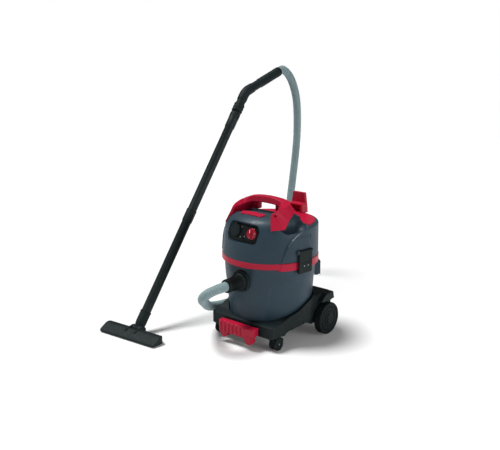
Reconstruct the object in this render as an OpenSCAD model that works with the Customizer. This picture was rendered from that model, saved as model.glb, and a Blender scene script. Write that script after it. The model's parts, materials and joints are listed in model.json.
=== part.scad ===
// Wet and dry shop vacuum on a wheeled trolley, with hose, wand and floor nozzle.
// Millimetres. +Z is up, the inlet and the control panel face -Y, and the origin
// lies on the floor under the axis of the tank.

/* [Tank] */
// Outer radius of the tank at its rim
tank_rim_r = 181; // [178:0.5:182]
// Height of the tank from its floor to its rim
tank_h = 260; // [250:1:300]
// How much narrower the tank is above its bottom corner than at its rim
tank_taper = 18; // [15:0.5:20]
// Radius of the corner between wall and floor
tank_corner_r = 40; // [20:1:60]
// Wall thickness of the tank
tank_wall = 4; // [3:0.1:5]
// Depth of the flat that is cut into the tank's front
front_flat = 8; // [4:0.5:10]
// Depth of the sunk side panels
side_panel_depth = 1.8; // [0.5:0.1:2]
// Half length of a sunk side panel, measured along Y
side_panel_half = 138; // [110:1:145]
// Depth of the inlet axis below the rim
inlet_drop = 65; // [60:1:80]

/* [Rim band] */
// How far the band stands out of the tank
band_out = 9; // [7:0.5:11]
// Height of the band above the rim
band_rise = 18; // [16:0.5:24]
// Height of the band below the rim
band_drop = 5; // [4:0.5:10]
// Extra depth of the band beside the latches
band_skirt = 7; // [4:0.5:12]

/* [Head] */
// Height of the head's dome above the band
dome_h = 176; // [165:1:190]
// Height of the rear block above the band
block_h = 128; // [122:0.5:134]
// Wall thickness of the head
head_wall = 4; // [3:0.1:5]
// Reach of the arched pad in front of each latch
pad_half = 118; // [100:1:125]
// Radius of the finger hollow beside the handle
scoop_r = 40; // [34:0.5:42]
// Lean of the control panel from upright, in degrees
panel_lean = 13; // [8:1:16]
// Radius of the power knob
knob_r = 22; // [18:0.5:24]
// Radius of the appliance socket
socket_r = 26; // [24:0.5:27]

/* [Carry handle] */
// Height of the handle's crown above the band
handle_h = 225; // [218:1:232]
// Radius of the arch of the handle bar
handle_arch_r = 380; // [300:1:440]
// Depth of the handle bar from front to back
bar_depth = 34; // [28:0.5:38]
// Thickness of the handle bar
bar_thick = 27; // [22:0.5:29]

/* [Latches] */
// Width of a latch
latch_w = 66; // [54:0.5:70]
// Turn of the latches round the tank towards the front, in degrees
latch_turn = 8.5; // [4:0.5:12]
// Radius of a latch pin
latch_pin_r = 3; // [2:0.1:4]

/* [Trolley] */
// Radius of a caster wheel
caster_r = 25; // [22:0.5:27]
// Half distance between the caster stems
caster_x = 140; // [134:1:142]
// Place of the caster stems along Y
caster_y = -147; // [-149:0.5:-142]
// Trail of a caster
caster_trail = 14; // [10:0.5:16]
// Radius of a caster stem
stem_r = 5.5; // [4:0.1:6.5]
// Thickness of the trolley floor under the tank
trolley_floor = 9; // [8:0.5:12]
// Height of the front wall of the trolley above its underside
trolley_front_h = 51; // [46:1:56]
// Radius of a rear wheel
rear_wheel_r = 65; // [62:0.5:67]
// Width of a rear wheel
rear_wheel_w = 33; // [26:0.5:36]
// Place of the rear axle along Y
rear_axle_y = 134; // [130:1:138]
// Radius of the rear axle
rear_axle_r = 6; // [4:0.1:8]

/* [Brake pedal] */
// Radius of the pedal pin
pedal_pin_r = 3.5; // [2.5:0.1:4.5]
// Number of grip ribs on the pedal
pedal_ribs = 6; // [4:1:7]

/* [Hose and wand] */
// Outer radius of the hose
hose_r = 19; // [17:0.5:19.5]
// Outer radius of the wand tubes
tube_r = 19.5; // [18.5:0.1:20]
// Wall thickness of the wand tubes
tube_wall = 2; // [1.5:0.1:2.5]
// Visible length of one wand tube with its socket
tube_len = 469; // [440:1:500]
// Length of a tube socket
socket_len = 53; // [45:1:60]
// Wall thickness of a tube socket
socket_wall = 2.2; // [1.8:0.1:2.6]
// Lean of the wand from upright, in degrees
wand_lean = 39; // [34:0.5:42]
// Turn of the wand and the nozzle about Z, in degrees
wand_turn = 4.3; // [0:0.1:8]
// Bend of the hand grip, in degrees
grip_bend = 34.4; // [30:0.1:38]
// Length of the hand grip
grip_len = 232; // [200:1:240]

/* [Floor nozzle] */
// Width of the nozzle
nozzle_w = 295; // [260:1:320]
// Height of the nozzle's back ridge
nozzle_h = 33; // [31:0.5:35]
// Height of the tilt pin above the floor
neck_z = 23; // [22:0.5:24]
// Radius of the nozzle's rear rollers
roller_r = 9; // [7:0.5:10]

/* [Motor and filter] */
// Outer radius of the fan housing
fan_housing_r = 70; // [60:1:76]
// Radius of the motor shaft
shaft_r = 4; // [3:0.1:5]
// Number of blades on the fan
fan_blades = 9; // [7:1:11]
// Number of pleats of the filter
filter_pleats = 40; // [24:1:48]
// Outer radius of the filter pleats
filter_r = 72; // [64:1:80]
// Radius of the float ball
float_r = 24; // [22:0.5:26]

/* [Hidden] */
$fn = 96;

// Clearances
seat_gap = 0.2;        // between pieces that are screwed or pushed together
run_gap = 0.06;        // radial, between a pin and what turns on it
move_gap = 0.4;        // between pieces that move past each other

// Heights, from the floor up
trolley_z = 2 * caster_r + 3;                // underside of the trolley
tank_z = trolley_z + trolley_floor;          // underside of the tank
tank_waist_r = tank_rim_r - tank_taper;      // radius of the tank above its bottom corner
front_flat_y = tank_rim_r - front_flat;      // the flat front, from the tank's axis
band_r = tank_rim_r + band_out;              // outer radius of the band
block_r = band_r - 1;                        // outer radius of the head's rear block
far = band_r + 50;                           // beyond every side of the head
rim_z = tank_z + tank_h;                     // top edge of the tank
band_top = rim_z + band_rise;                // top of the band, where the head rests
deck_z = band_top + block_h;                 // flat top of the rear block
dome_top = band_top + dome_h;
trough_z = dome_top - 16;                    // floor of the finger trough under the handle
inlet_z = rim_z - inlet_drop;
trolley_top = trolley_z + trolley_front_h;

// Colours
grey = "#5d6b78";
red = "#c8304f";
black = "#2b302f";
dark = "#1f2423";
steel = "#b4b8bc";
hose_grey = "#9fb0ac";
white = "#e8e8e4";

// ---------- Helpers ----------

// Points of an arc round (cx, cy)
function arc(cx, cy, r, a0, a1, n) =
    [for (i = [0:n]) let (a = a0 + (a1 - a0) * i / n) [cx + r * cos(a), cy + r * sin(a)]];

// Extrudes a (y, z) outline along X
module side_prism(x0, x1) {
    translate([x0, 0, 0]) rotate([90, 0, 90]) linear_extrude(x1 - x0) children();
}

// Extrudes an (x, z) outline along Y
module front_prism(y0, y1) {
    translate([0, y1, 0]) rotate([90, 0, 0]) linear_extrude(y1 - y0) children();
}

module rod_x(r, x0, x1, y, z) {
    translate([x0, y, z]) rotate([0, 90, 0]) cylinder(r = r, h = x1 - x0);
}

module rod_y(r, y0, y1, x, z) {
    translate([x, y1, z]) rotate([90, 0, 0]) cylinder(r = r, h = y1 - y0);
}

module block(x0, x1, y0, y1, z0, z1) {
    translate([x0, y0, z0]) cube([x1 - x0, y1 - y0, z1 - z0]);
}

module ring(r_out, r_in, z0, z1) {
    translate([0, 0, z0]) difference() {
        cylinder(r = r_out, h = z1 - z0);
        translate([0, 0, -1]) cylinder(r = r_in, h = z1 - z0 + 2);
    }
}

module both_sides() {
    children();
    mirror([1, 0, 0]) children();
}

module rounded(r) {
    offset(r, $fn = 32) offset(-r, $fn = 32) children();
}

// ---------- Tank ----------

// Half section of the tank, inset by g and closed at height top
function tank_outline(g, top) = concat(
    [[0, tank_z + g]],
    arc(tank_waist_r - tank_corner_r, tank_z + tank_corner_r, tank_corner_r - g, -90, 0, 6),
    [[tank_rim_r - tank_taper / 3 - g, rim_z - 100], [tank_rim_r - g, rim_z - 4],
     [tank_rim_r - g, top], [0, top]]);

module tank_form(g, top) {
    difference() {
        rotate_extrude() polygon(tank_outline(g, top));
        block(-100, 100, -tank_rim_r - 40, -front_flat_y + g, rim_z - 110, top + 1);
    }
}

module side_panel_cut() {
    panel_top = rim_z - 79;
    difference() {
        both_sides() side_prism(60, tank_rim_r + 20)
            rounded(34) translate([-side_panel_half, tank_z - 60])
                square([2 * side_panel_half, panel_top - tank_z + 60]);
        tank_form(side_panel_depth, rim_z);
    }
}

inlet_flange_r = 43;
inlet_boss_r = 33;
inlet_bore_r = 25;
flange_t = 9;

module tank() {
    color(grey) difference() {
        tank_form(0, rim_z);
        tank_form(tank_wall, rim_z + 1);
        side_panel_cut();
        rod_y(inlet_bore_r + 2, -front_flat_y - 20, -front_flat_y + 20, 0, inlet_z);
        inlet_screw_places() cylinder(r = 2.2, h = 20, center = true);
    }
}

module inlet_screw_places() {
    for (a = [45:90:315])
        translate([(inlet_flange_r - 5) * cos(a), -front_flat_y, inlet_z + (inlet_flange_r - 5) * sin(a)])
            rotate([90, 0, 0]) children();
}

// Moulded grips, one behind each side of the tank
module tank_grips() {
    grip_r = tank_rim_r + 19;
    color(grey) both_sides() rotate([0, 0, 48]) difference() {
        block(tank_rim_r - 12, grip_r, -23, 23, inlet_z - 18, inlet_z + 40);
        block(tank_rim_r - 20, grip_r - 5, -18, 18, inlet_z - 30, inlet_z + 35);
        translate([grip_r - 5, 0, inlet_z - 18]) rotate([90, 0, 0]) cylinder(r = 4, h = 60, center = true);
        rotate([0, 0, -48]) tank_form(-seat_gap, rim_z);
    }
}

module rim_band() {
    bottom = rim_z - band_drop;
    skirt_z = bottom - band_skirt;
    ledge_z = band_top - 10;
    skirt_half = pad_half + 4;
    color(red) difference() {
        union() {
            translate([0, 0, bottom]) cylinder(r = band_r, h = band_top - bottom);
            intersection() {
                translate([0, 0, skirt_z]) cylinder(r = band_r + 1.5, h = band_top - skirt_z);
                union() {
                    block(80, band_r + 10, -skirt_half, skirt_half, skirt_z, band_top);
                    block(-band_r - 10, -80, -skirt_half, skirt_half, skirt_z, band_top);
                }
            }
        }
        // groove that takes the rim of the tank
        translate([0, 0, skirt_z - 1]) cylinder(r = tank_rim_r + seat_gap, h = rim_z - skirt_z + 1);
        translate([0, 0, rim_z - 1]) cylinder(r = tank_rim_r - 15, h = band_rise + 2);
        translate([0, 0, ledge_z]) cylinder(r = tank_rim_r - 9, h = 11);
    }
}

module inlet_flange() {
    y0 = -front_flat_y;
    color(dark) difference() {
        union() {
            rod_y(inlet_flange_r, y0 - flange_t, y0, 0, inlet_z);
            rod_y(inlet_boss_r, y0 - 22, y0, 0, inlet_z);
            rod_y(inlet_bore_r + 1.8, y0 - 1, y0 + tank_wall + 10, 0, inlet_z);
        }
        rod_y(inlet_bore_r, y0 - 30, y0 + 30, 0, inlet_z);
        inlet_screw_places() cylinder(r = 2.2, h = 2 * flange_t + 10, center = true);
    }
}

module inlet_screws() {
    color(steel) inlet_screw_places() {
        translate([0, 0, flange_t]) cylinder(r1 = 4, r2 = 3.2, h = 2.4);
        translate([0, 0, -10]) cylinder(r = 2.1, h = 10 + flange_t);
    }
}

// Hood inside the tank that turns the incoming air down
module inlet_deflector() {
    y0 = -front_flat_y + tank_wall + seat_gap;
    r = inlet_bore_r + 8;
    color(dark) difference() {
        intersection() {
            union() {
                rod_y(r, y0, y0 + 28, 0, inlet_z);
                block(-r, r, y0, y0 + 28, inlet_z - 44, inlet_z);
            }
            tank_form(tank_wall + seat_gap, rim_z - 2);
        }
        rod_y(r - 2, y0 - 1, y0 + 25, 0, inlet_z);
        block(-r + 2, r - 2, y0 - 1, y0 + 25, inlet_z - 46, inlet_z);
    }
}

connector_end = 262;      // distance of the connector's mouth from the tank axis

module hose_connector() {
    y0 = -front_flat_y;
    color(dark) difference() {
        union() {
            rod_y(inlet_bore_r - 0.05, y0 - 30, y0 + 8, 0, inlet_z);
            translate([0, y0 - 22, inlet_z]) rotate([90, 0, 0]) {
                cylinder(r = 31, h = 12);
                translate([0, 0, 12]) cylinder(r1 = 29, r2 = 25, h = 42);
                translate([0, 0, 54]) cylinder(r = 26.5, h = connector_end - front_flat_y - 76);
            }
            for (a = [0, 180]) rotate_y(a, inlet_z) block(-8, 8, y0 - 34, y0 - 24, 29, 34.5);
        }
        rod_y(16, -connector_end - 1, y0 + 30, 0, inlet_z);
    }
}

// Turns children about the inlet axis, from coordinates centred on that axis
module rotate_y(a, z) {
    translate([0, 0, z]) rotate([0, a, 0]) children();
}

// ---------- Hose ----------

hose_route = [
    [0, -262.2, 257], [0, -272, 257], [0, -285, 257], [-4, -310, 255], [-20, -328, 245], [-46, -328, 226],
    [-74, -310, 206], [-102, -283, 184], [-133, -238, 154], [-168, -185, 120], [-203, -118, 92],
    [-234, -34, 68], [-262, 52, 50], [-287, 138, 34], [-306, 228, 23], [-320, 320, 19.5],
    [-336, 412, 19.5], [-360, 496, 28], [-390, 570, 58], [-418, 630, 112], [-434, 668, 188],
    [-441, 686, 280], [-443, 698, 366], [-443, 714, 460], [-443, 731, 560], [-443, 744, 660],
    [-444, 748, 740], [-445, 746, 810], [-446, 737, 870], [-448, 719, 922], [-450, 694, 964],
    [-451, 664, 991], [-451, 638, 1003], [-450.5, 620.5, 1000.2], [-449.87, 612.15, 997.7],
    [-449.25, 603.8, 995.2]];

function spline(p0, p1, p2, p3, t) = 0.5 * ((2 * p1) + (p2 - p0) * t
    + (2 * p0 - 5 * p1 + 4 * p2 - p3) * t * t + (3 * p1 - p0 - 3 * p2 + p3) * t * t * t);
function at(p, i) = p[max(0, min(len(p) - 1, i))];
function smooth_route(p, n) = concat(
    [for (i = [0:len(p) - 2]) for (k = [0:n - 1])
        spline(at(p, i - 1), at(p, i), at(p, i + 1), at(p, i + 2), k / n)], [p[len(p) - 1]]);
function unit(v) = v / norm(v);
function heading(p, i) = unit(at(p, i + 1) - at(p, i - 1));

// Tube of radius r along the points p, with the given number of sides
module sweep(p, r, sides) {
    n = len(p);
    rings = [for (i = [0:n - 1])
        let (d = heading(p, i), s = unit(cross(d, [0.3, 0.25, 0.92])), u = cross(s, d))
        for (k = [0:sides - 1])
            p[i] + r * (cos(360 * k / sides) * s + sin(360 * k / sides) * u)];
    walls = [for (i = [0:n - 2]) for (k = [0:sides - 1])
        [i * sides + k, i * sides + (k + 1) % sides,
         (i + 1) * sides + (k + 1) % sides, (i + 1) * sides + k]];
    start = [for (k = [0:sides - 1]) sides - 1 - k];
    end = [for (k = [0:sides - 1]) (n - 1) * sides + k];
    polyhedron(rings, concat([start], walls, [end]));
}

module hose() {
    color(hose_grey) sweep(smooth_route(hose_route, 2), hose_r, 10);
}

// ---------- Trolley ----------

module trolley_plan(g) {
    side = tank_waist_r + 2;
    back = rear_axle_y + 64;
    offset(-g) rounded(12) polygon([[-154, -177], [154, -177], [side - 2, -98], [side, 0], [side, back],
                                   [-side, back], [-side, 0], [2 - side, -98]]);
}

module trolley_side(g) {
    rounded(4) offset(-g) polygon([
        [-182, trolley_z], [-182, trolley_top - 6], [-170, trolley_top - 3], [-128, trolley_top],
        [-99, trolley_top + 12], [-62, trolley_top + 23], [-20, trolley_top + 38],
        [15, trolley_top + 50], [70, trolley_top + 60],
        [rear_axle_y - 6, trolley_top + 64], [rear_axle_y + 38, trolley_top + 66],
        [rear_axle_y + 58, trolley_top + 54], [rear_axle_y + 65, trolley_top + 26],
        [rear_axle_y + 65, trolley_z]]);
}

wheel_in = 168;                                 // inner face of a rear wheel
wheel_out = wheel_in + rear_wheel_w;
axle_in = 94;                                   // inner end of a stub axle

module fender() {
    side_prism(160, wheel_out - 11) rounded(4) polygon([
        [rear_axle_y - 44, rear_wheel_r * 2 + 9], [rear_axle_y - 29, trolley_top + 48],
        [rear_axle_y - 6, trolley_top + 64], [rear_axle_y + 38, trolley_top + 66],
        [rear_axle_y + 46, rear_wheel_r * 2 + 9], [rear_axle_y + 16, rear_wheel_r * 2 + 5],
        [rear_axle_y - 14, rear_wheel_r * 2 + 5]]);
}

pedal_y = -191;
pedal_z = trolley_z + 25;
ear_x = 52;
ear_w = 10;
ear_r = 6.5;                                    // radius of the trolley's ears round the pin

module pedal_ears() {
    for (s = [-1, 1]) {
        rod_x(ear_r, s * ear_x - ear_w / 2, s * ear_x + ear_w / 2, pedal_y, pedal_z);
        block(s * ear_x - ear_w / 2, s * ear_x + ear_w / 2, pedal_y, -175, pedal_z - ear_r, pedal_z + ear_r);
    }
}

module trolley() {
    color(black) difference() {
        union() {
            intersection() {
                translate([0, 0, trolley_z]) linear_extrude(160) trolley_plan(0);
                side_prism(-tank_waist_r - 7, tank_waist_r + 7) trolley_side(0);
            }
            both_sides() fender();
            pedal_ears();
        }
        // seat of the tank
        rotate_extrude() polygon(concat(
            [[0, tank_z]],
            arc(tank_waist_r - tank_corner_r, tank_z + tank_corner_r, tank_corner_r + 1, -90, 0, 6),
            [[tank_rim_r - tank_taper / 3 + 1, rim_z - 100], [0, rim_z - 100]]));
        // arches between the front and the rear
        both_sides() side_prism(139, tank_waist_r + 12) polygon([
            [-104, trolley_z - 1], [-95, trolley_z + 9], [-80, trolley_z + 12], [-47, trolley_z + 13],
            [-15, trolley_z + 15], [5, trolley_z + 17], [26, trolley_z + 16],
            [45, trolley_z + 9], [62, trolley_z - 1]]);
        // hollows under the floor
        for (a = [0:60:300]) rotate([0, 0, a + 30]) translate([0, 0, trolley_z - 1])
            rotate_extrude(angle = 48) translate([34, 0]) square([84, 6]);
        // hollow behind the tank
        block(-130, 130, tank_rim_r, rear_axle_y + 59, trolley_z - 1, trolley_top + 48);
        both_sides() rod_x(rear_axle_r + 0.03, axle_in - seat_gap, wheel_out + 5, rear_axle_y, rear_wheel_r);
        rod_x(pedal_pin_r + run_gap / 2, -70, 70, pedal_y, pedal_z);
        both_sides() translate([caster_x, caster_y, trolley_z - 1])
            cylinder(r = stem_r + run_gap, h = 36);
    }
}

// Two stub axles, so that the tank can sit between them
module rear_axle() {
    color(steel) both_sides() rod_x(rear_axle_r, axle_in, wheel_out - 1, rear_axle_y, rear_wheel_r);
}

// Section of a rear wheel as (radius, distance from the inner face)
module rear_wheel() {
    w = rear_wheel_w;
    r = rear_wheel_r;
    translate([wheel_in, rear_axle_y, rear_wheel_r]) rotate([90, 0, 90])
        rotate_extrude() polygon([
            [rear_axle_r + run_gap, 0.5], [17, 0.5], [19, 6], [r - 17, 7], [r - 15, 2], [r - 4, 1],
            [r, 5], [r, w - 5], [r - 4, w - 1], [r - 12, w - 1], [r - 13.5, w - 4],
            [r - 16.5, w - 4], [r - 18, w - 1.5], [r - 29, w - 0.5], [r - 31, w - 3.5],
            [r - 34, w - 3.5], [r - 36, w - 1], [20, w], [19, w - 3], [rear_axle_r + run_gap, w - 3]]);
}

module wheel_cap() {
    r = 18.5;
    translate([wheel_in + rear_wheel_w - 3, rear_axle_y, rear_wheel_r]) rotate([90, 0, 90])
        rotate_extrude() polygon([
            [0, 2.5], [rear_axle_r + 1, 2.5], [rear_axle_r + 1, 0], [r, 0], [r, 4.5],
            [r - 2, 6], [8, 6], [7, 5], [0, 5]]);
}

module rear_wheel_left() { color(black) mirror([1, 0, 0]) rear_wheel(); }
module rear_wheel_right() { color(black) rear_wheel(); }
module wheel_cap_left() { color(dark) mirror([1, 0, 0]) wheel_cap(); }
module wheel_cap_right() { color(dark) wheel_cap(); }

caster_axle_r = 3;
caster_wheel_w = 13;
caster_half = 4.5;                              // half thickness between the twin wheels

module caster_place() {
    translate([caster_x, caster_y, 0]) children();
}

module caster_housing() {
    ty = caster_trail;
    color(black) caster_place() difference() {
        union() {
            translate([0, 0, 2 * caster_r]) cylinder(r = 13, h = 2.6);
            translate([0, 0, 2 * caster_r]) cylinder(r = stem_r, h = 34);
            rod_x(caster_r - 6, -caster_half + move_gap, caster_half - move_gap, ty, caster_r);
            block(-caster_half + move_gap, caster_half - move_gap, -5, ty + 12,
                  caster_r, 2 * caster_r + 2.6);
            // hood over the twin wheels
            intersection() {
                difference() {
                    rod_x(caster_r + 2.6, -18, 18, ty, caster_r);
                    rod_x(caster_r + 0.8, -19, 19, ty, caster_r);
                }
                block(-20, 20, ty - 22, ty + 30, caster_r + 10, 2 * caster_r + 2.6);
            }
        }
        rod_x(caster_axle_r + 0.02, -10, 10, ty, caster_r);
    }
}

module caster_axle() {
    color(steel) caster_place() rod_x(caster_axle_r, -caster_half - caster_wheel_w + 1,
        caster_half + caster_wheel_w - 1, caster_trail, caster_r);
}

module caster_wheel(side) {
    w = caster_wheel_w;
    r = caster_r;
    color(dark) caster_place() translate([side * caster_half, caster_trail, caster_r])
        rotate([90, 0, side * 90]) rotate_extrude() polygon([
            [caster_axle_r + run_gap, 0], [r - 2, 0], [r, 2], [r, w - 3], [r - 3, w - 0.5],
            [r - 7, w - 0.5], [r - 8, w - 2], [10, w - 1], [8, w], [caster_axle_r + run_gap, w]]);
}

module caster_housing_left() { mirror([1, 0, 0]) caster_housing(); }
module caster_housing_right() { caster_housing(); }
module caster_axle_left() { mirror([1, 0, 0]) caster_axle(); }
module caster_axle_right() { caster_axle(); }
module caster_wheel_left_inner() { mirror([1, 0, 0]) caster_wheel(-1); }
module caster_wheel_left_outer() { mirror([1, 0, 0]) caster_wheel(1); }
module caster_wheel_right_inner() { caster_wheel(-1); }
module caster_wheel_right_outer() { caster_wheel(1); }

// ---------- Brake pedal ----------

pedal_x0 = -89;
pedal_x1 = 95;
pedal_front = pedal_y - 16;
pedal_top = pedal_z + 11;
pedal_bottom = pedal_z - 35;
lobe_z = 22;
lobe_r = 20;
lobes = [-64, 66];

module pedal_outline() {
    union() {
        rounded(4) polygon([[pedal_x0, pedal_bottom], [pedal_x1 - 14, pedal_bottom],
                            [pedal_x1, pedal_bottom + 14], [pedal_x1, pedal_top], [pedal_x0, pedal_top]]);
        for (x = lobes) translate([x, lobe_z + lobe_r]) circle(r = lobe_r);
    }
}

module brake_pedal() {
    rib_pitch = 20;
    wall = 4;
    cheek = ear_w / 2 + 1;
    color(red) difference() {
        union() {
            front_prism(pedal_front, pedal_front + wall) pedal_outline();
            block(pedal_x0, pedal_x1, pedal_front + 1, pedal_y + 9, pedal_top - wall, pedal_top);
            block(pedal_x0, pedal_x0 + wall, pedal_front + 1, pedal_y + 5, pedal_bottom + 4, pedal_top);
            block(pedal_x1 - wall, pedal_x1, pedal_front + 1, pedal_y + 5, pedal_bottom + 18, pedal_top);
            // cheeks beside the trolley's ears
            for (s = [-1, 1]) for (k = [-1, 1])
                side_prism(s * ear_x + k * cheek - (k < 0 ? wall : 0),
                           s * ear_x + k * cheek + (k > 0 ? wall : 0)) union() {
                    translate([pedal_y, pedal_z]) circle(r = 8);
                    translate([pedal_front + 1, pedal_z - 8]) square([15, pedal_top - pedal_z + 8]);
                }
            // grip ribs, and the plain end block
            for (i = [0:pedal_ribs - 1])
                translate([pedal_x0 + 9 + i * rib_pitch, pedal_front + 1, pedal_bottom + 3])
                    cylinder(r = 6, h = pedal_top - pedal_bottom - 6);
            front_prism(pedal_front - 5, pedal_front + 1) rounded(3) polygon([
                [34, pedal_bottom + 1], [pedal_x1 - 14, pedal_bottom + 1], [pedal_x1, pedal_bottom + 15],
                [pedal_x1, pedal_top - 3], [34, pedal_top - 3]]);
            rod_y(lobe_r, pedal_front - 5, pedal_front + 1, lobes[1], lobe_z + lobe_r);
            for (x = lobes) rod_y(lobe_r, pedal_front + 1, pedal_front + 14, x, lobe_z + lobe_r);
        }
        rod_x(pedal_pin_r + run_gap, -70, 70, pedal_y, pedal_z);
        // shallow pocket in each lobe
        for (x = lobes) rod_y(lobe_r - 5, pedal_front + wall + 2, pedal_front + 30, x, lobe_z + lobe_r);
    }
}

module pedal_pin() {
    color(steel) rod_x(pedal_pin_r, -62.5, 62.5, pedal_y, pedal_z);
}

// ---------- Head ----------

dome_steps = [0, 0.3, 0.55, 0.7, 0.8, 0.88, 0.94, 0.98, 1];

// Radius of the dome at the share t of its height
function dome_r(t) = (band_r - 17.5 * t) * pow(1 - pow(t, 8), 1 / 3);

module dome(g) {
    rotate_extrude() polygon(concat(
        [[0, band_top - 5], [max(1, band_r - g), band_top - 5]],
        [for (t = dome_steps) [max(0, dome_r(t) - g), band_top + t * (dome_h - g)]]));
}

module rear_block(g) {
    rotate_extrude() polygon(concat(
        [[0, band_top - 5], [block_r + 1 - g, band_top - 5], [block_r + 1 - g, band_top]],
        arc(block_r - 12, deck_z - 8, 8 - g, 0, 90, 4), [[0, deck_z - g]]));
}

scoop_track_r = block_r - 29;
scoop_z = deck_z + 17;
dome_back = 16;                                 // where the dome ends and the rear deck begins

module scoops(g) {
    both_sides() translate([0, 0, scoop_z]) rotate([0, 0, -35]) rotate_extrude(angle = 31)
        translate([scoop_track_r, 0]) circle(r = scoop_r + g);
}

module head_form(g) {
    difference() {
        union() {
            intersection() {
                dome(g);
                side_prism(-far, far) polygon([
                    [-far, band_top - 9], [-far, dome_top + 9], [-2 - g, dome_top + 9],
                    [6 - g, dome_top - 8], [dome_back - g, deck_z - 3], [dome_back - g, band_top - 9]]);
            }
            intersection() {
                rear_block(g);
                side_prism(-far, far) polygon([
                    [-106 + g, band_top - 9], [-106 + g, band_top + 100 - g],
                    [-80 + g, band_top + 113 - g], [-40, band_top + 119 - g],
                    [dome_back - 4, deck_z + 1 - g], [far, deck_z + 1 - g], [far, band_top - 9]]);
            }
        }
        scoops(g);
        block(-104 - g, 104 + g, -96 - g, dome_back + 1, trough_z - g, dome_top + 9);
    }
}

// Arched pads that carry the latches
module latch_pads() {
    difference() {
        intersection() {
            translate([0, 0, band_top]) cylinder(r1 = band_r + 2.5, r2 = band_r, h = 104);
            union() {
                pad_prism(100, far);
                pad_prism(-far, -100);
            }
        }
        translate([0, 0, band_top - 1]) cylinder(r1 = band_r - head_wall + 0.2, r2 = band_r - 16, h = 106);
    }
}

module pad_prism(x0, x1) {
    side_prism(x0, x1) rounded(8) polygon([
        [-pad_half, band_top - 20], [2 - pad_half, band_top + 12], [12 - pad_half, band_top + 38],
        [24 - pad_half, band_top + 66], [40 - pad_half, band_top + 84], [64 - pad_half, band_top + 93],
        [-24, band_top + 97], [4, band_top + 96], [14, band_top + 66], [28, band_top + 28],
        [36, band_top - 20]]);
}

latch_axis_x = band_r + 5;
latch_axis_z = band_top + 40;
latch_ear_t = 5;
latch_barrel_r = 6.8;                           // round upper end of a latch

// Frame of the right latch: x points out of the tank, y along the latch's hinge
module latch_frame() {
    rotate([0, 0, -latch_turn]) children();
}

module latch_ear_pair() {
    latch_frame() for (s = [-1, 1])
        translate([0, s * (latch_w / 2 + 0.6 + latch_ear_t / 2), 0]) {
            rod_y(6.5, -latch_ear_t / 2, latch_ear_t / 2, latch_axis_x, latch_axis_z);
            block(block_r - 4, latch_axis_x, -latch_ear_t / 2, latch_ear_t / 2,
                  latch_axis_z - 12, latch_axis_z + 6.5);
        }
}

panel_y = -156;
panel_z = band_top + 107;
panel_t = 4;
knob_at = [39, -1];
socket_at = [-46, 2];
socket_body_r = socket_r - 5.5;
lens_at = [[-14, 19], [-17, -22], [3, -17]];

// Frame on the face of the control panel: x to the right, y up the panel, z outwards
module on_panel() {
    translate([0, panel_y, panel_z]) rotate([90 - panel_lean, 0, 0]) children();
}

module panel_outline() {
    rounded(5) polygon([[-60, 34], [62, 31], [74, 13], [64, -33], [30, -39], [-40, -39],
                        [-67, -34], [-74, -14]]);
}

grille_half = 52;

module head_shell() {
    color(grey) difference() {
        union() {
            difference() {
                head_form(0);
                head_form(head_wall);
                block(-far, far, -far, far, band_top - 20, band_top);
            }
            latch_pads();
            // seat of the control panel
            intersection() {
                dome(0);
                on_panel() translate([0, 0, -panel_t - 4]) linear_extrude(60)
                    offset(9) panel_outline();
            }
            // seat of the cord gland
            rod_y(19, block_r - 14, block_r - 4, 0, band_top + 45);
            both_sides() latch_ear_pair();
        }
        on_panel() translate([0, 0, -panel_t]) linear_extrude(60) panel_outline();
        on_panel() translate([0, 0, 2]) linear_extrude(60) offset(5) panel_outline();
        on_panel() translate([knob_at[0], knob_at[1], -20]) cylinder(r = 5, h = 30);
        on_panel() translate([socket_at[0], socket_at[1], -20]) cylinder(r = socket_body_r + 1, h = 30);
        on_panel() translate([socket_at[0], socket_at[1], -0.1]) cylinder(r = socket_r + 0.3, h = 60);
        // exhaust window and gland hole
        front_prism(block_r - 50, block_r + 10) translate([-grille_half, band_top + 66])
            square([2 * grille_half, 38]);
        rod_y(9 + seat_gap, block_r - 30, block_r + 10, 0, band_top + 45);
        rod_y(12 + seat_gap, block_r - 4, block_r + 10, 0, band_top + 45);
        // latch pins and handle screws
        both_sides() latch_frame() {
            rod_y(latch_pin_r + run_gap / 2, -latch_w / 2 - 20, latch_w / 2 + 20,
                  latch_axis_x, latch_axis_z);
            rod_y(latch_barrel_r + 0.6, -latch_w / 2 - 0.6, latch_w / 2 + 0.6, latch_axis_x, latch_axis_z);
        }
        both_sides() handle_screw_place() translate([0, 0, -14]) cylinder(r = 2.6, h = 30);
    }
}

// Disc that closes the head from below and carries motor, filter and float
eye_r = 20;

module head_base() {
    neck_r = tank_rim_r - 9 - 0.5;
    color(black) difference() {
        union() {
            translate([0, 0, band_top - 4]) cylinder(r = neck_r, h = 4);
            translate([0, 0, band_top]) cylinder(r = band_r - head_wall - 0.8, h = 6);
        }
        translate([0, 0, band_top - 5]) cylinder(r = eye_r, h = 20);
        // groove on top that centres the fan housing
        translate([0, 0, band_top + 5]) cylinder(r = fan_housing_r + seat_gap, h = 2);
    }
}

// Rubber ring between the base and the ledge of the band
module head_seal() {
    color(dark) ring(tank_rim_r - 10, tank_rim_r - 14, band_top - 10, band_top - 4);
}

module control_panel() {
    color(dark) on_panel() difference() {
        translate([0, 0, -panel_t]) linear_extrude(panel_t) offset(-seat_gap) panel_outline();
        translate([knob_at[0], knob_at[1], -9]) cylinder(r = 3 + run_gap, h = 20);
        translate([socket_at[0], socket_at[1], -9]) cylinder(r = socket_body_r + seat_gap, h = 20);
        for (p = lens_at) translate([p[0], p[1], -9]) cylinder(r = 3.5 + seat_gap, h = 20);
    }
}

knob_h = 17;

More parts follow.
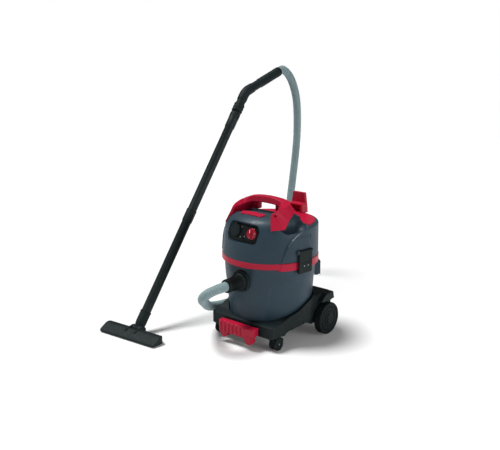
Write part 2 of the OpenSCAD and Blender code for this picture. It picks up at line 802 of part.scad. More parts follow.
module power_knob() {
    color(red) on_panel() translate([knob_at[0], knob_at[1], move_gap]) difference() {
        union() {
            cylinder(r = knob_r, h = 5);
            translate([0, 0, 5]) cylinder(r1 = knob_r - 1, r2 = knob_r - 3, h = knob_h - 8);
            translate([-5, -knob_r + 3, 5]) cube([10, 2 * knob_r - 6, knob_h - 5]);
            translate([0, 0, -12]) cylinder(r = 3, h = 13);
        }
        for (a = [15:30:345])
            rotate([0, 0, a]) translate([knob_r + 1.2, 0, 2]) cylinder(r = 2.6, h = knob_h);
    }
}

lid_hinge_y = socket_r + 1;

module outlet_socket() {
    color(dark) on_panel() translate([socket_at[0], socket_at[1], 0]) difference() {
        union() {
            cylinder(r = socket_r, h = 2);
            translate([0, 0, -16]) cylinder(r = socket_body_r, h = 17);
            // ears of the lid's hinge
            for (s = [-1, 1]) translate([s * 9.5 - 1.5, lid_hinge_y - 2.8, 0]) cube([3, 4.6, 6.5]);
        }
        translate([0, 0, -12]) cylinder(r = socket_body_r - 2, h = 30);
        for (s = [-1, 1]) translate([s * 9.5, 0, -17]) cylinder(r = 2.4, h = 10);
        translate([0, lid_hinge_y - 1, 4.2]) rotate([0, 90, 0])
            cylinder(r = 1.3 + run_gap, h = 60, center = true);
    }
}

module outlet_lid() {
    color(black) on_panel() translate([socket_at[0], socket_at[1], 2.4]) union() {
        difference() {
            cylinder(r = socket_r - 1, h = 3);
            translate([0, -socket_r + 3, 2]) cylinder(r = 4, h = 5);
            // room for the ears
            for (s = [-1, 1]) translate([s * 9.5 - 2.2, lid_hinge_y - 6, -1]) cube([4.4, 9, 6]);
        }
        translate([-7, lid_hinge_y - 6, 0.4]) cube([14, 5, 2.6]);
        translate([0, lid_hinge_y - 1, 1.8]) rotate([0, 90, 0]) cylinder(r = 1.8, h = 15, center = true);
        translate([0, lid_hinge_y - 1, 1.8]) rotate([0, 90, 0]) cylinder(r = 1.3, h = 21.6, center = true);
    }
}

module indicator_lenses() {
    color(white) on_panel() for (p = lens_at)
        translate([p[0], p[1], -panel_t]) cylinder(r = 3.5, h = panel_t + 1);
}

// ---------- Carry handle ----------

crown_z = band_top + handle_h;
bar_y = -14;
leg_out = 5;                                    // how far a leg stands out of the dome

// Side view of the legs, swept forward and down from the bar
module leg_side() {
    rounded(3) polygon([
        [-132, band_top + 133], [-127, band_top + 176], [-119, band_top + 186], [-104, band_top + 192],
        [-80, band_top + 199], [-60, crown_z - 17], [-31, crown_z - 6], [-16, crown_z - 1],
        [3, crown_z - 8], [5, crown_z - 30], [-24, crown_z - 49], [-62, crown_z - 55],
        [-82, band_top + 146], [-94, band_top + 133]]);
}

// Front view: the outer line of the arch
module leg_front() {
    rounded(8) polygon(concat(
        [[-160, band_top + 100], [-153, band_top + 132], [-147, band_top + 160], [-136, band_top + 182],
         [-118, band_top + 200]],
        arc(0, crown_z - handle_arch_r, handle_arch_r, 104.6, 75.4, 8),
        [[118, band_top + 200], [136, band_top + 182], [147, band_top + 160], [153, band_top + 132],
         [160, band_top + 100]]));
}

// Top view of one leg
module leg_plan() {
    rounded(4) polygon([[54, 12], [56, -24], [74, -62], [94, -112], [106, -140], [180, -140],
                        [180, -60], [128, -20], [112, 12]]);
}

module carry_handle() {
    color(red) difference() {
        union() {
            // bar
            intersection() {
                translate([0, bar_y, crown_z - handle_arch_r]) rotate([90, 0, 0])
                    rotate_extrude($fn = 180) translate([handle_arch_r - bar_thick / 2, 0])
                        rounded(11) square([bar_thick, bar_depth], center = true);
                block(-64, 64, -60, 40, trough_z + 4, crown_z + 5);
            }
            // legs
            intersection() {
                side_prism(-170, 170) leg_side();
                front_prism(-160, 60) leg_front();
                both_sides() translate([0, 0, band_top + 90]) linear_extrude(160) leg_plan();
                leg_limit();
            }
            // ribs under the ends of the bar
            both_sides() block(57, 78, bar_y - 9, bar_y + 9, trough_z + 5, crown_z - 20);
        }
        dome(-seat_gap);
        scoop_lip();
        both_sides() handle_screw_place() {
            translate([0, 0, -2]) cylinder(r = 4.4, h = 20);
            translate([0, 0, -20]) cylinder(r = 2.7, h = 40);
        }
    }
}

// Keeps the legs 5 mm proud of the dome, with flanks that lean in above it
module leg_limit() {
    rotate_extrude() polygon([
        [0, band_top + 95], [dome_r(0.54) + leg_out, band_top + 95],
        [dome_r(0.68) + leg_out, band_top + 0.68 * dome_h],
        [dome_r(0.81) + leg_out, band_top + 0.81 * dome_h],
        [dome_r(0.87) + leg_out + 3, band_top + 0.87 * dome_h],
        [148, band_top + 175], [134, band_top + 212], [134, crown_z + 9], [0, crown_z + 9]]);
}

// The legs stop short of the rear block
module scoop_lip() {
    intersection() {
        translate([0, 0, band_top + 60]) cylinder(r = block_r + 2, h = 70);
        block(-far, far, -105, 60, band_top + 60, band_top + 119.5);
    }
}

// Frame of a handle screw: z points out of the right leg
module handle_screw_place() {
    translate([112.5, -104.5, band_top + 180]) rotate([62, 0, 47]) children();
}

module handle_screws() {
    color(dark) both_sides() handle_screw_place() {
        translate([0, 0, -1.9]) cylinder(r = 4, h = 2.6);
        translate([0, 0, -13]) cylinder(r = 2.4, h = 12);
    }
}

// Trim along the front of the finger trough
module grip_strip() {
    color(red) difference() {
        intersection() {
            dome(-4);
            translate([0, 0, trough_z - 20]) linear_extrude(60)
                rounded(6) polygon([[-60, -97], [-48, -122], [48, -122], [60, -97]]);
        }
        dome(-seat_gap);
    }
}

// ---------- Rear deck and holder ----------

deck_t = 3;

module rear_deck() {
    color(red) difference() {
        translate([0, 0, deck_z]) linear_extrude(deck_t) difference() {
            intersection() {
                circle(r = block_r - 14);
                translate([-far, dome_back + 2]) square([2 * far, far]);
            }
            rounded(3) translate([-holder_half - 1, holder_front - 2]) square([2 * holder_half + 2, 80]);
        }
        translate([0, 0, 0]) scoops(2);
    }
}

holder_top = band_top + 209;
holder_half = 38;                               // half width of the holder's box
holder_back = block_r + 6;                      // back of the plate
holder_front = holder_back - 41;                // front of the box

module accessory_holder() {
    color(red) difference() {
        union() {
            // tapered plate
            front_prism(holder_back - 15, holder_back) rounded(3) polygon([
                [-39, deck_z - 6], [-37, deck_z + 20], [-29, holder_top - 4], [-29, holder_top],
                [29, holder_top], [29, holder_top - 4], [37, deck_z + 20], [39, deck_z - 6]]);
            // box in front of it, open to the front
            block(-holder_half, holder_half, holder_front, holder_back - 7, deck_z + 0.01, deck_z + 38);
        }
        block(-27, 27, holder_front - 10, holder_back - 15, deck_z + 4, deck_z + 32);
        front_prism(holder_front - 10, holder_back + 10) translate([-50, deck_z - 20]) square([100, 20.01]);
        // hollow back of the plate
        block(-22, 22, holder_back - 11, holder_back + 5, deck_z + 8, holder_top - 10);
    }
}

module exhaust_grille() {
    color(black) difference() {
        intersection() {
            ring(block_r - 2.5, block_r - 9.5, band_top + 66, band_top + 104);
            front_prism(block_r - 50, block_r + 10)
                translate([-grille_half + seat_gap, band_top + 66 + seat_gap])
                square([2 * (grille_half - seat_gap), 38 - 2 * seat_gap]);
        }
        for (i = [-6:6])
            block(i * 7.6 - 2, i * 7.6 + 2, block_r - 60, block_r + 10, band_top + 71, band_top + 99);
    }
}

module cord_gland() {
    color(dark) difference() {
        union() {
            rod_y(9, block_r - 12, block_r + 2, 0, band_top + 45);
            rod_y(12, block_r - 4 + seat_gap, block_r, 0, band_top + 45);
            translate([0, block_r + 1, band_top + 45]) rotate([-90, 0, 0]) cylinder(r1 = 9, r2 = 7, h = 8);
        }
        rod_y(4.5, block_r - 20, block_r + 20, 0, band_top + 45);
    }
}

// ---------- Latches ----------

module latch() {
    inner = band_r + 2.5 + 0.6;
    hook_top = rim_z - band_drop - band_skirt - 0.3;
    color(black) latch_frame() difference() {
        front_prism(-latch_w / 2, latch_w / 2) rounded(1.5) polygon(concat(
            [[inner - 7, hook_top - 7], [inner - 7, hook_top], [inner + 0.5, hook_top],
             [inner + 0.5, latch_axis_z - 10]],
            arc(latch_axis_x, latch_axis_z, latch_barrel_r, 250, 20, 10),
            [[inner + 8.5, latch_axis_z - 8], [inner + 9, hook_top + 30], [inner + 8, hook_top - 10],
             [inner + 2, hook_top - 16]]));
        rod_y(latch_pin_r + run_gap, -100, 100, latch_axis_x, latch_axis_z);
        // finger hollow in the face
        translate([inner + 16, 0, hook_top + 32]) rotate([90, 0, 0])
            cylinder(r = 9, h = latch_w - 16, center = true);
    }
}

module latch_left() { mirror([1, 0, 0]) latch(); }
module latch_right() { latch(); }

module latch_pins() {
    pin_half = latch_w / 2 + 0.6 + latch_ear_t;
    color(steel) both_sides() latch_frame()
        rod_y(latch_pin_r, -pin_half, pin_half, latch_axis_x, latch_axis_z);
}

// ---------- Motor ----------

fan_z = band_top + 6;
can_r = 52;
motor_z = fan_z + 38;
motor_top = motor_z + 62;

module fan_housing() {
    color(steel) translate([0, 0, band_top + 5]) rotate_extrude() polygon([
        [eye_r + 2, 0], [fan_housing_r, 0], [fan_housing_r, motor_z - band_top - 5],
        [fan_housing_r - 2, motor_z - band_top - 5], [fan_housing_r - 2, 2], [eye_r + 2, 2]]);
}

module motor_housing() {
    color(steel) difference() {
        union() {
            translate([0, 0, motor_z]) cylinder(r = fan_housing_r, h = 4);
            translate([0, 0, motor_z]) cylinder(r = can_r, h = 50);
            translate([0, 0, motor_z]) cylinder(r = 18, h = motor_top - motor_z);
        }
        translate([0, 0, motor_z - 1]) cylinder(r = shaft_r + run_gap, h = 80);
        for (a = [0:30:330])
            rotate([0, 0, a]) block(can_r - 8, can_r + 2, -4, 4, motor_z + 12, motor_z + 42);
        for (a = [0:45:315]) rotate([0, 0, a]) block(58, 64, -8, 8, motor_z - 1, motor_z + 5);
    }
}

module motor_shaft() {
    color(steel) translate([0, 0, fan_z + 3]) cylinder(r = shaft_r, h = motor_top - fan_z + 3);
}

module fan_wheel() {
    r = fan_housing_r - 6;
    z = fan_z + 6;
    color(white) translate([0, 0, z]) union() {
        ring(r, eye_r + 4, 0, 1.5);
        ring(r, shaft_r + 0.02, 18, 19.5);
        ring(11, shaft_r + 0.02, 2, 24);
        for (i = [0:fan_blades - 1]) rotate([0, 0, i * 360 / fan_blades])
            translate([0, 0, 1]) linear_extrude(17.5) intersection() {
                difference() {
                    translate([30, 34]) circle(r = 40);
                    translate([30, 34]) circle(r = 38.4);
                }
                polygon([[8, -20], [r, -20], [r, 12], [8, 0]]);
                circle(r = r - 0.5);
            }
    }
}

// ---------- Filter and float ----------

filter_bottom = band_top - 156;
cage_bottom = band_top - 78;

module filter_cartridge() {
    color(white) union() {
        translate([0, 0, filter_bottom + 5]) linear_extrude(band_top - filter_bottom - 17) difference() {
            polygon([for (i = [0:2 * filter_pleats - 1]) let (a = 180 * i / filter_pleats,
                r = i % 2 == 0 ? filter_r : filter_r - 10) [r * cos(a), r * sin(a)]]);
            circle(r = filter_r - 15);
        }
        ring(filter_r + 3, filter_r - 22, band_top - 12.5, band_top - 4);
        translate([0, 0, filter_bottom]) cylinder(r = filter_r + 3, h = 5.5);
    }
}

module float_cage() {
    r = float_r + 12;
    color(black) difference() {
        union() {
            translate([0, 0, cage_bottom]) cylinder(r = r, h = band_top - 4 - cage_bottom);
            translate([0, 0, band_top - 8]) cylinder(r = filter_r - 24, h = 4);
        }
        translate([0, 0, cage_bottom + 3]) cylinder(r = r - 2.5, h = 200);
        translate([0, 0, cage_bottom - 1]) cylinder(r = float_r - 8, h = 10);
        for (a = [0:60:300]) rotate([0, 0, a]) block(10, r + 5, -11, 11, cage_bottom + 8, band_top - 14);
    }
}

// Height of the ball's centre on the hole in the bottom of its cage
ball_z = cage_bottom + 3.4 + sqrt(float_r * float_r - (float_r - 8) * (float_r - 8));

module float_ball() {
    color(white) translate([0, 0, ball_z]) sphere(r = float_r);
}

// ---------- Wand and floor nozzle ----------

nozzle_at = [-375.5, -377];

// Frame of the nozzle: origin on the floor under the tilt pin
module nozzle_place() {
    translate([nozzle_at[0], nozzle_at[1], 0]) rotate([0, 0, wand_turn]) children();
}

// Frame of the wand: origin on the tilt pin, z along the tubes
module wand_place() {
    nozzle_place() translate([0, 0, neck_z]) rotate([-wand_lean, 0, 0]) children();
}

neck_socket = 40;                               // where the neck's socket begins
tube_1 = neck_socket + 1;                       // lower end of the lower tube
joint_1 = tube_1 + 38 + tube_len;               // end of the lower tube's socket
joint_2 = joint_1 + tube_len;                   // end of the upper tube's socket
socket_in = tube_r + 0.05;
socket_out = socket_in + socket_wall;

// A tube from z0 to z1 whose socket ends at z1
module wand_tube(z0, z1) {
    difference() {
        union() {
            translate([0, 0, z0]) cylinder(r = tube_r, h = z1 - z0 - socket_len + 1);
            translate([0, 0, z1 - socket_len - 5]) cylinder(r1 = tube_r, r2 = socket_out, h = 5);
            translate([0, 0, z1 - socket_len]) cylinder(r = socket_out, h = socket_len);
            translate([0, 0, z1 - 4]) cylinder(r = socket_out + 0.6, h = 4);
        }
        translate([0, 0, z0 - 1]) cylinder(r = tube_r - tube_wall, h = z1 - z0);
        translate([0, 0, z1 - socket_len + 6]) cylinder(r = socket_in, h = socket_len);
    }
}

module lower_tube() { color(black) wand_place() wand_tube(tube_1, joint_1); }
module upper_tube() { color(black) wand_place() wand_tube(joint_1 - socket_len + 7, joint_2); }

grip_start = joint_2 + 113;
grip_bend_r = 70;
slider_z = joint_2 + 28;
slider_len = 40;

// Follows the grip: the bend, then the straight part
module bend_end() {
    translate([0, grip_bend_r, grip_start])
        rotate([-grip_bend, 0, 0]) translate([0, -grip_bend_r, 0]) children();
}

module grip_arc(r) {
    translate([0, grip_bend_r, grip_start]) rotate([90, 0, -90])
        rotate_extrude(angle = grip_bend) translate([grip_bend_r, 0]) circle(r = r);
}

module wand_handle() {
    r = tube_r;
    rib_pitch = 15;
    color(black) wand_place() difference() {
        union() {
            translate([0, 0, joint_2 - socket_len + 7])
                cylinder(r = r, h = grip_start - joint_2 + socket_len - 7);
            translate([0, 0, joint_2 + 1]) cylinder(r = r + 3, h = 18);
            translate([0, 0, slider_z + slider_len + 16]) cylinder(r1 = r, r2 = r + 2.4, h = 10);
            translate([0, 0, slider_z + slider_len + 26])
                cylinder(r = r + 2.4, h = grip_start - slider_z - slider_len - 26);
            grip_arc(r + 2.4);
            bend_end() {
                cylinder(r = r + 2.4, h = 30);
                translate([0, 0, -2]) cylinder(r = r + 3.2, h = 5);
                translate([0, 0, 30]) cylinder(r1 = r + 2.4, r2 = r, h = 8);
                cylinder(r = r, h = grip_len);
                for (i = [0:8]) translate([0, 0, grip_len - 6 - (i + 1) * rib_pitch])
                    cylinder(r = r + 2, h = 8.5);
                translate([0, 0, grip_len - 8]) cylinder(r = r + 2.5, h = 8);
            }
        }
        translate([0, 0, joint_2 - socket_len])
            cylinder(r = r - tube_wall, h = grip_start - joint_2 + socket_len);
        grip_arc(r - tube_wall);
        bend_end() translate([0, 0, -1]) cylinder(r = r - tube_wall - 0.3, h = grip_len + 2);
        // air hole under the slider
        translate([0, -30, slider_z + 17]) rotate([-90, 0, 0]) cylinder(r = 5, h = 20);
    }
}

// Sleeve that opens or closes the air hole
module air_slider() {
    r_in = tube_r + 0.1;
    color(dark) wand_place() translate([0, 0, slider_z]) difference() {
        union() {
            cylinder(r = tube_r + 3.2, h = slider_len);
            for (z = [4, 18, 32]) translate([0, 0, z]) cylinder(r = tube_r + 4.6, h = 4);
            translate([-7, -tube_r - 7.5, 0]) cube([14, 10, 16]);
        }
        translate([0, 0, -1]) cylinder(r = r_in, h = slider_len + 2);
    }
}

module hose_cuff() {
    color(dark) wand_place() bend_end() translate([0, 0, grip_len]) difference() {
        union() {
            cylinder(r = tube_r + 2.2, h = 16);
            translate([0, 0, -20]) cylinder(r = tube_r - tube_wall - 0.35, h = 22);
        }
        translate([0, 0, -21]) cylinder(r = tube_r - tube_wall - 2, h = 40);
    }
}

neck_half = 20;

module nozzle_neck() {
    color(black) wand_place() difference() {
        union() {
            rotate([0, 90, 0]) cylinder(r = 17, h = 2 * neck_half, center = true);
            translate([0, 0, 4]) cylinder(r1 = 17, r2 = tube_r + 2.4, h = 22);
            translate([0, 0, 26]) cylinder(r = tube_r + 2.4, h = 48);
            translate([0, 0, 74]) cylinder(r = tube_r + 3.4, h = 5);
        }
        translate([0, 0, -30]) cylinder(r = 13, h = 80);
        translate([0, 0, neck_socket]) cylinder(r = socket_in, h = 60);
        rotate([0, 90, 0]) cylinder(r = 5 + run_gap, h = 60, center = true);
    }
}

nozzle_front = -71;
nozzle_back = 13;
sole_z = 3;

// Side view of the nozzle's wedge
module nozzle_side() {
    rounded(2) polygon([[nozzle_front, sole_z], [nozzle_front, 10], [nozzle_front + 5, 14],
        [nozzle_front + 36, nozzle_h - 2], [nozzle_front + 44, nozzle_h], [-12, nozzle_h],
        [nozzle_back, 14], [nozzle_back, sole_z]]);
}

module nozzle_body() {
    half = nozzle_w / 2;
    cheek_in = neck_half + 0.4;
    color(black) nozzle_place() difference() {
        union() {
            intersection() {
                side_prism(-half, half) nozzle_side();
                // plan view, with clipped rear corners
                linear_extrude(60) rounded(8) polygon([[-half, nozzle_front - 1], [half, nozzle_front - 1],
                    [half, -16], [half - 40, nozzle_back + 1], [-half + 40, nozzle_back + 1], [-half, -16]]);
            }
            // raised saddle with the cheeks of the tilt joint
            for (s = [-1, 1]) side_prism(s > 0 ? cheek_in : -cheek_in - 9, s > 0 ? cheek_in + 9 : -cheek_in)
                union() {
                    translate([0, neck_z]) circle(r = 17);
                    polygon([[-46, 12], [-46, nozzle_h], [-30, nozzle_h + 3], [0, neck_z + 17], [10, neck_z],
                             [10, 10]]);
                }
        }
        // room for the neck
        block(-cheek_in, cheek_in, -22, nozzle_back + 5, sole_z + 2, 60);
        side_prism(-cheek_in, cheek_in) translate([0, neck_z]) circle(r = 18);
        // suction slot along the sole, and the duct up to the neck
        block(-half + 10, half - 10, -50, -30, -1, 14);
        block(-18, 18, -48, -16, 8, 20);
        // seats of the brush strips
        block(-half + 8, half - 8, -64, -56, -1, 9);
        block(-half + 8, half - 8, -24, -18, -1, 9);
        // wells and pins of the rollers
        for (s = [-1, 1])
            block(s * (half - 62) - 8, s * (half - 62) + 8, -12, nozzle_back + 2, -1, 2 * roller_r + 2);
    }
    color(steel) nozzle_place() {
        for (s = [-1, 1]) rod_x(2, s * (half - 62) - 8.5, s * (half - 62) + 8.5, 1, roller_r);
        for (s = [-1, 1]) rod_x(5, s > 0 ? 6 : -cheek_in - 4, s > 0 ? cheek_in + 4 : -6, 0, neck_z);
    }
}

module nozzle_brushes() {
    half = nozzle_w / 2;
    color(dark) nozzle_place() {
        block(-half + 8.2, half - 8.2, -63.8, -56.2, 0, 9);
        block(-half + 8.2, half - 8.2, -23.8, -18.2, 0, 9);
    }
}

module nozzle_roller(side) {
    color(dark) nozzle_place() translate([side * (nozzle_w / 2 - 62), 1, roller_r]) rotate([0, 90, 0])
        rotate_extrude() polygon([[2 + run_gap, -6.5], [roller_r - 1, -6.5], [roller_r, -5.5],
                                  [roller_r, 5.5], [roller_r - 1, 6.5], [2 + run_gap, 6.5]]);
}

module nozzle_roller_left() { nozzle_roller(-1); }
module nozzle_roller_right() { nozzle_roller(1); }

// ---------- Assembly ----------

tank();
rim_band();
tank_grips();
inlet_flange();
inlet_screws();
inlet_deflector();
hose_connector();
hose();
hose_cuff();
trolley();
rear_axle();
rear_wheel_left();
rear_wheel_right();
wheel_cap_left();
wheel_cap_right();
caster_housing_left();
caster_housing_right();
caster_axle_left();
caster_axle_right();
caster_wheel_left_inner();
caster_wheel_left_outer();
caster_wheel_right_inner();
caster_wheel_right_outer();
brake_pedal();
pedal_pin();
head_shell();
head_base();
head_seal();
control_panel();
power_knob();
outlet_socket();
outlet_lid();
indicator_lenses();
carry_handle();
handle_screws();
grip_strip();
rear_deck();
accessory_holder();
latch_left();
latch_right();
latch_pins();
exhaust_grille();
cord_gland();
motor_housing();
fan_housing();
motor_shaft();
fan_wheel();
filter_cartridge();
float_cage();
float_ball();
wand_handle();
air_slider();
upper_tube();
lower_tube();
nozzle_neck();
nozzle_body();
nozzle_brushes();
nozzle_roller_left();
nozzle_roller_right();
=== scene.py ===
"""Wet and dry shop vacuum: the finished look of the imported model, in metres."""

import json
import logging
import math
from collections.abc import Iterator
from contextlib import contextmanager
from dataclasses import dataclass
from enum import Enum

import bpy
from mathutils import Matrix, Vector

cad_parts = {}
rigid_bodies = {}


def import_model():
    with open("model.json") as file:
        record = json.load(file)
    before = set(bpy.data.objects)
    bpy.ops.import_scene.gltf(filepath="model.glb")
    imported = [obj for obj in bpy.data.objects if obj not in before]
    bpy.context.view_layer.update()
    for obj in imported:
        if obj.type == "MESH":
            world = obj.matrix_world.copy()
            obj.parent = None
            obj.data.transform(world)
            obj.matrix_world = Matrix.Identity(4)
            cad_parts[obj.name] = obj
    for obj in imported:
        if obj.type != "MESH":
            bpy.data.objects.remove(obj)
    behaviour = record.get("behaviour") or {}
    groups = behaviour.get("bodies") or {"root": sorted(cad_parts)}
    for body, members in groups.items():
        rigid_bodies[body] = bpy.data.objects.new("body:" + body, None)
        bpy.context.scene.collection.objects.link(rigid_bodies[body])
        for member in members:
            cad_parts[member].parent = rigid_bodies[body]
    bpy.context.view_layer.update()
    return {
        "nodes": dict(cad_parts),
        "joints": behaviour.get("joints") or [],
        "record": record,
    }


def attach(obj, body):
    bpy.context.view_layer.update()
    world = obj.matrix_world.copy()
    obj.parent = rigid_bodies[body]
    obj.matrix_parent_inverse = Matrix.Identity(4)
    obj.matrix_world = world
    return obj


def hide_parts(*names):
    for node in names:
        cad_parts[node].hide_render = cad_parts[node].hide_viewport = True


logging.basicConfig(level=logging.INFO, format="%(message)s")
log = logging.getLogger("shop_vacuum")

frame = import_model()
NODES = frame["nodes"]
MACHINE = frame["joints"][0]["parent"]
MM = 0.001

MIRROR = Matrix.Diagonal((-1, 1, 1, 1))

Point = tuple[float, float]
Point3 = tuple[float, float, float]
Corner = tuple[float, float, float]      # x, y and radius of a corner
Obj = bpy.types.Object
Tree = bpy.types.NodeTree
Node = bpy.types.Node
Socket = bpy.types.NodeSocket


# ---------------------------------------------------------------- finishes

def wire(tree: Tree, node: Node, values: dict[str | int, object]) -> Node:
    """Links a socket into each input of a shader node, or sets it to a constant."""
    for key, value in values.items():
        if isinstance(value, Socket):
            tree.links.new(value, node.inputs[key])
        else:
            node.inputs[key].default_value = value
    return node


def add_node(tree: Tree, kind: str, values: dict[str | int, object] | None = None,
             **settings: str) -> Node:
    """Adds a shader node.

    Args:
        tree: The tree that it goes into.
        kind: Its type, without "ShaderNode".
        values: The socket or constant for each input.
        settings: The node's own settings.

    Returns:
        The new node.
    """
    node = tree.nodes.new("ShaderNode" + kind)
    for key, value in settings.items():
        setattr(node, key, value)
    return wire(tree, node, values or {})


class Grain(Enum):
    """Surface grain of a finish."""
    MOULDED = "moulded"
    BRUSHED = "brushed"
    FELT = "felt"
    BRISTLE = "bristle"
    SCUFFED = "scuffed"


STRETCH: dict[Grain, Point3] = {Grain.BRUSHED: (1.0, 1.0, 14.0), Grain.BRISTLE: (1.0, 1.0, 0.05)}
BROAD_PER_M = 14.0           # scale of the slow change of tone
SCUFF_PER_M = 90.0           # scale of the scuffs
WORN_EDGE: Point = (0.52, 0.60)      # pointiness at which wear starts and is full
CLOUD: Point = (0.35, 0.65)          # range of a noise texture that is used


@dataclass(frozen=True)
class Finish:
    """One material, with its colour, gloss and grain."""
    name: str
    colour: Point3
    roughness: float = 0.45
    grain: Grain = Grain.MOULDED
    grain_mm: float = 0.8
    depth_mm: float = 0.05
    mottle: float = 0.10
    wear: float = 0.25
    metallic: float = 0.0
    specular: float = 0.5
    coat: float = 0.0

    def tinted(self, gain: float, lift: float = 0.0) -> tuple[float, ...]:
        """Returns the colour times gain plus lift, with its alpha."""
        return (*[min(1.0, c * gain + lift) for c in self.colour], 1)

    def material(self) -> bpy.types.Material:
        """Builds the node material, or returns the one already built.

        Returns:
            The Blender material of this finish.
        """
        made = bpy.data.materials.get(self.name)
        if made:
            return made
        mat = bpy.data.materials.new(self.name)
        mat.use_nodes = True
        tree = mat.node_tree
        where = add_node(tree, "TexCoord").outputs["Object"]
        mapping = add_node(tree, "Mapping", {"Scale": STRETCH.get(self.grain, (1.0, 1.0, 1.0)),
                                             "Vector": where})
        fine = self._noise(tree, mapping.outputs["Vector"], 1 / (self.grain_mm * MM), 3.0)
        broad = self._noise(tree, where, BROAD_PER_M, 4.0)
        scuff = self._noise(tree, where, SCUFF_PER_M, 6.0)
        tone = add_node(tree, "ValToRGB", {"Fac": broad})
        for stop, at, sign in zip(tone.color_ramp.elements, CLOUD, (-1, 1)):
            stop.position = at
            stop.color = self.tinted(1 + sign * self.mottle)
        sharp = add_node(tree, "NewGeometry").outputs["Pointiness"]
        worn = add_node(tree, "Mix", {"Factor": self._range(tree, sharp, WORN_EDGE, 0.0, self.wear),
                                      "A": tone.outputs["Color"], "B": self.tinted(1.5, 0.03)},
                        data_type="RGBA")
        bump = add_node(tree, "Bump", {"Strength": 0.55, "Distance": self.depth_mm * MM,
                                       "Height": fine})
        if self.grain in (Grain.SCUFFED, Grain.FELT):
            bump = add_node(tree, "Bump", {"Strength": 0.4, "Distance": 4 * self.depth_mm * MM,
                                           "Height": scuff, "Normal": bump.outputs["Normal"]})
        wire(tree, tree.nodes["Principled BSDF"], {
            "Metallic": self.metallic, "Specular IOR Level": self.specular,
            "Coat Weight": self.coat, "Coat Roughness": 0.15, "Base Color": worn.outputs["Result"],
            "Roughness": self._range(tree, scuff, CLOUD, self.roughness - 0.05,
                                     self.roughness + 0.07),
            "Normal": bump.outputs["Normal"]})
        return mat

    @staticmethod
    def _noise(tree: Tree, where: Socket, scale: float, detail: float) -> Socket:
        """Adds a noise texture and returns its value output."""
        return add_node(tree, "TexNoise", {"Scale": scale, "Detail": detail,
                                           "Vector": where}).outputs["Fac"]

    @staticmethod
    def _range(tree: Tree, value: Socket, span: Point, low: float, high: float) -> Socket:
        """Adds a map range from span to low..high and returns its output."""
        return add_node(tree, "MapRange", {"From Min": span[0], "From Max": span[1], "To Min": low,
                                           "To Max": high, "Value": value}).outputs["Result"]


SHELL = Finish("slate_shell", (0.025, 0.050, 0.071), 0.46, depth_mm=0.04, mottle=0.05,
               specular=0.26, coat=0.03)
RED = Finish("crimson_trim", (0.46, 0.005, 0.036), 0.38, grain_mm=1.0, depth_mm=0.03, mottle=0.05,
             wear=0.08, specular=0.22, coat=0.03)
KNOB_RED = Finish("knob_red", (0.30, 0.004, 0.020), 0.20, grain_mm=1.0, depth_mm=0.01, mottle=0.05,
                  specular=0.4, coat=0.25)
BLACK = Finish("black_moulding", (0.0085, 0.0150, 0.0165), 0.58, grain_mm=0.7, depth_mm=0.06,
               specular=0.18)
GLOSSY = Finish("black_panel", (0.0030, 0.0055, 0.0062), 0.40, grain_mm=0.9, depth_mm=0.02,
                specular=0.16)
TUBE = Finish("black_tube", (0.0085, 0.0150, 0.0160), 0.45, grain_mm=0.9, depth_mm=0.02,
              mottle=0.06, specular=0.22)
RUBBER = Finish("tyre_rubber", (0.0085, 0.0140, 0.0150), 0.70, Grain.SCUFFED, 0.6, 0.06, 0.15, 0.15,
                specular=0.16)
HOSE = Finish("hose_plastic", (0.24, 0.33, 0.345), 0.48, grain_mm=1.2, depth_mm=0.03, mottle=0.04,
              wear=0.10, specular=0.3)
STEEL = Finish("brushed_steel", (0.55, 0.56, 0.58), 0.30, Grain.BRUSHED, 0.35, 0.02, 0.05, 0.1,
               metallic=1.0)
FELT = Finish("filter_felt", (0.78, 0.76, 0.70), 0.9, Grain.FELT, 0.5, 0.10, 0.06, 0.0,
              specular=0.1)
BRISTLE = Finish("brush_bristle", (0.012, 0.012, 0.012), 0.6, Grain.BRISTLE, 0.35, 0.25, 0.2, 0.1)
LENS = Finish("lens_plastic", (0.10, 0.11, 0.105), 0.22, grain_mm=1.0, depth_mm=0.01, mottle=0.04,
              coat=0.3)
WHITE = Finish("white_moulding", (0.74, 0.74, 0.72), 0.45, depth_mm=0.04)

SLOT_FINISH: dict[str, Finish] = {
    "shell_grey": SHELL, "trim_red": RED, "detail_dark": BLACK, "body_black": BLACK,
    "steel": STEEL, "hose_grey": HOSE, "tyre": RUBBER, "rubber": RUBBER, "lens": LENS,
    "filter_white": FELT, "bristle": BRISTLE}
OWN_FINISH: dict[str, Finish] = {
    **dict.fromkeys(("control_panel", "outlet_socket", "hose_connector", "hose_cuff",
                     "handle_screws", "inlet_screws"), GLOSSY),
    "upper_tube": TUBE, "lower_tube": TUBE, "float_ball": WHITE, "power_knob": KNOB_RED}
BODY_OF: dict[str, str] = {node: body for body, members in
                           frame["record"]["behaviour"]["bodies"].items() for node in members}
SLOT_OF: dict[str, str] = {s["node"]: s["material_slot"] for s in frame["record"]["subparts"]}


def finish_of(node: str) -> Finish:
    """Returns a node's own finish, or that of its material slot."""
    return OWN_FINISH.get(node) or SLOT_FINISH[SLOT_OF[node]]


# ---------------------------------------------------------------- the work bench

def wake(obj: Obj) -> None:
    """Deselects all else and makes obj the active object."""
    bpy.ops.object.select_all(action="DESELECT")
    obj.select_set(True)
    bpy.context.view_layer.objects.active = obj


@contextmanager
def editing(obj: Obj) -> Iterator[None]:
    """Opens obj for editing with all of it selected, and closes it afterwards."""
    wake(obj)
    bpy.ops.object.mode_set(mode="EDIT")
    bpy.ops.mesh.select_all(action="SELECT")
    yield
    bpy.ops.object.mode_set(mode="OBJECT")


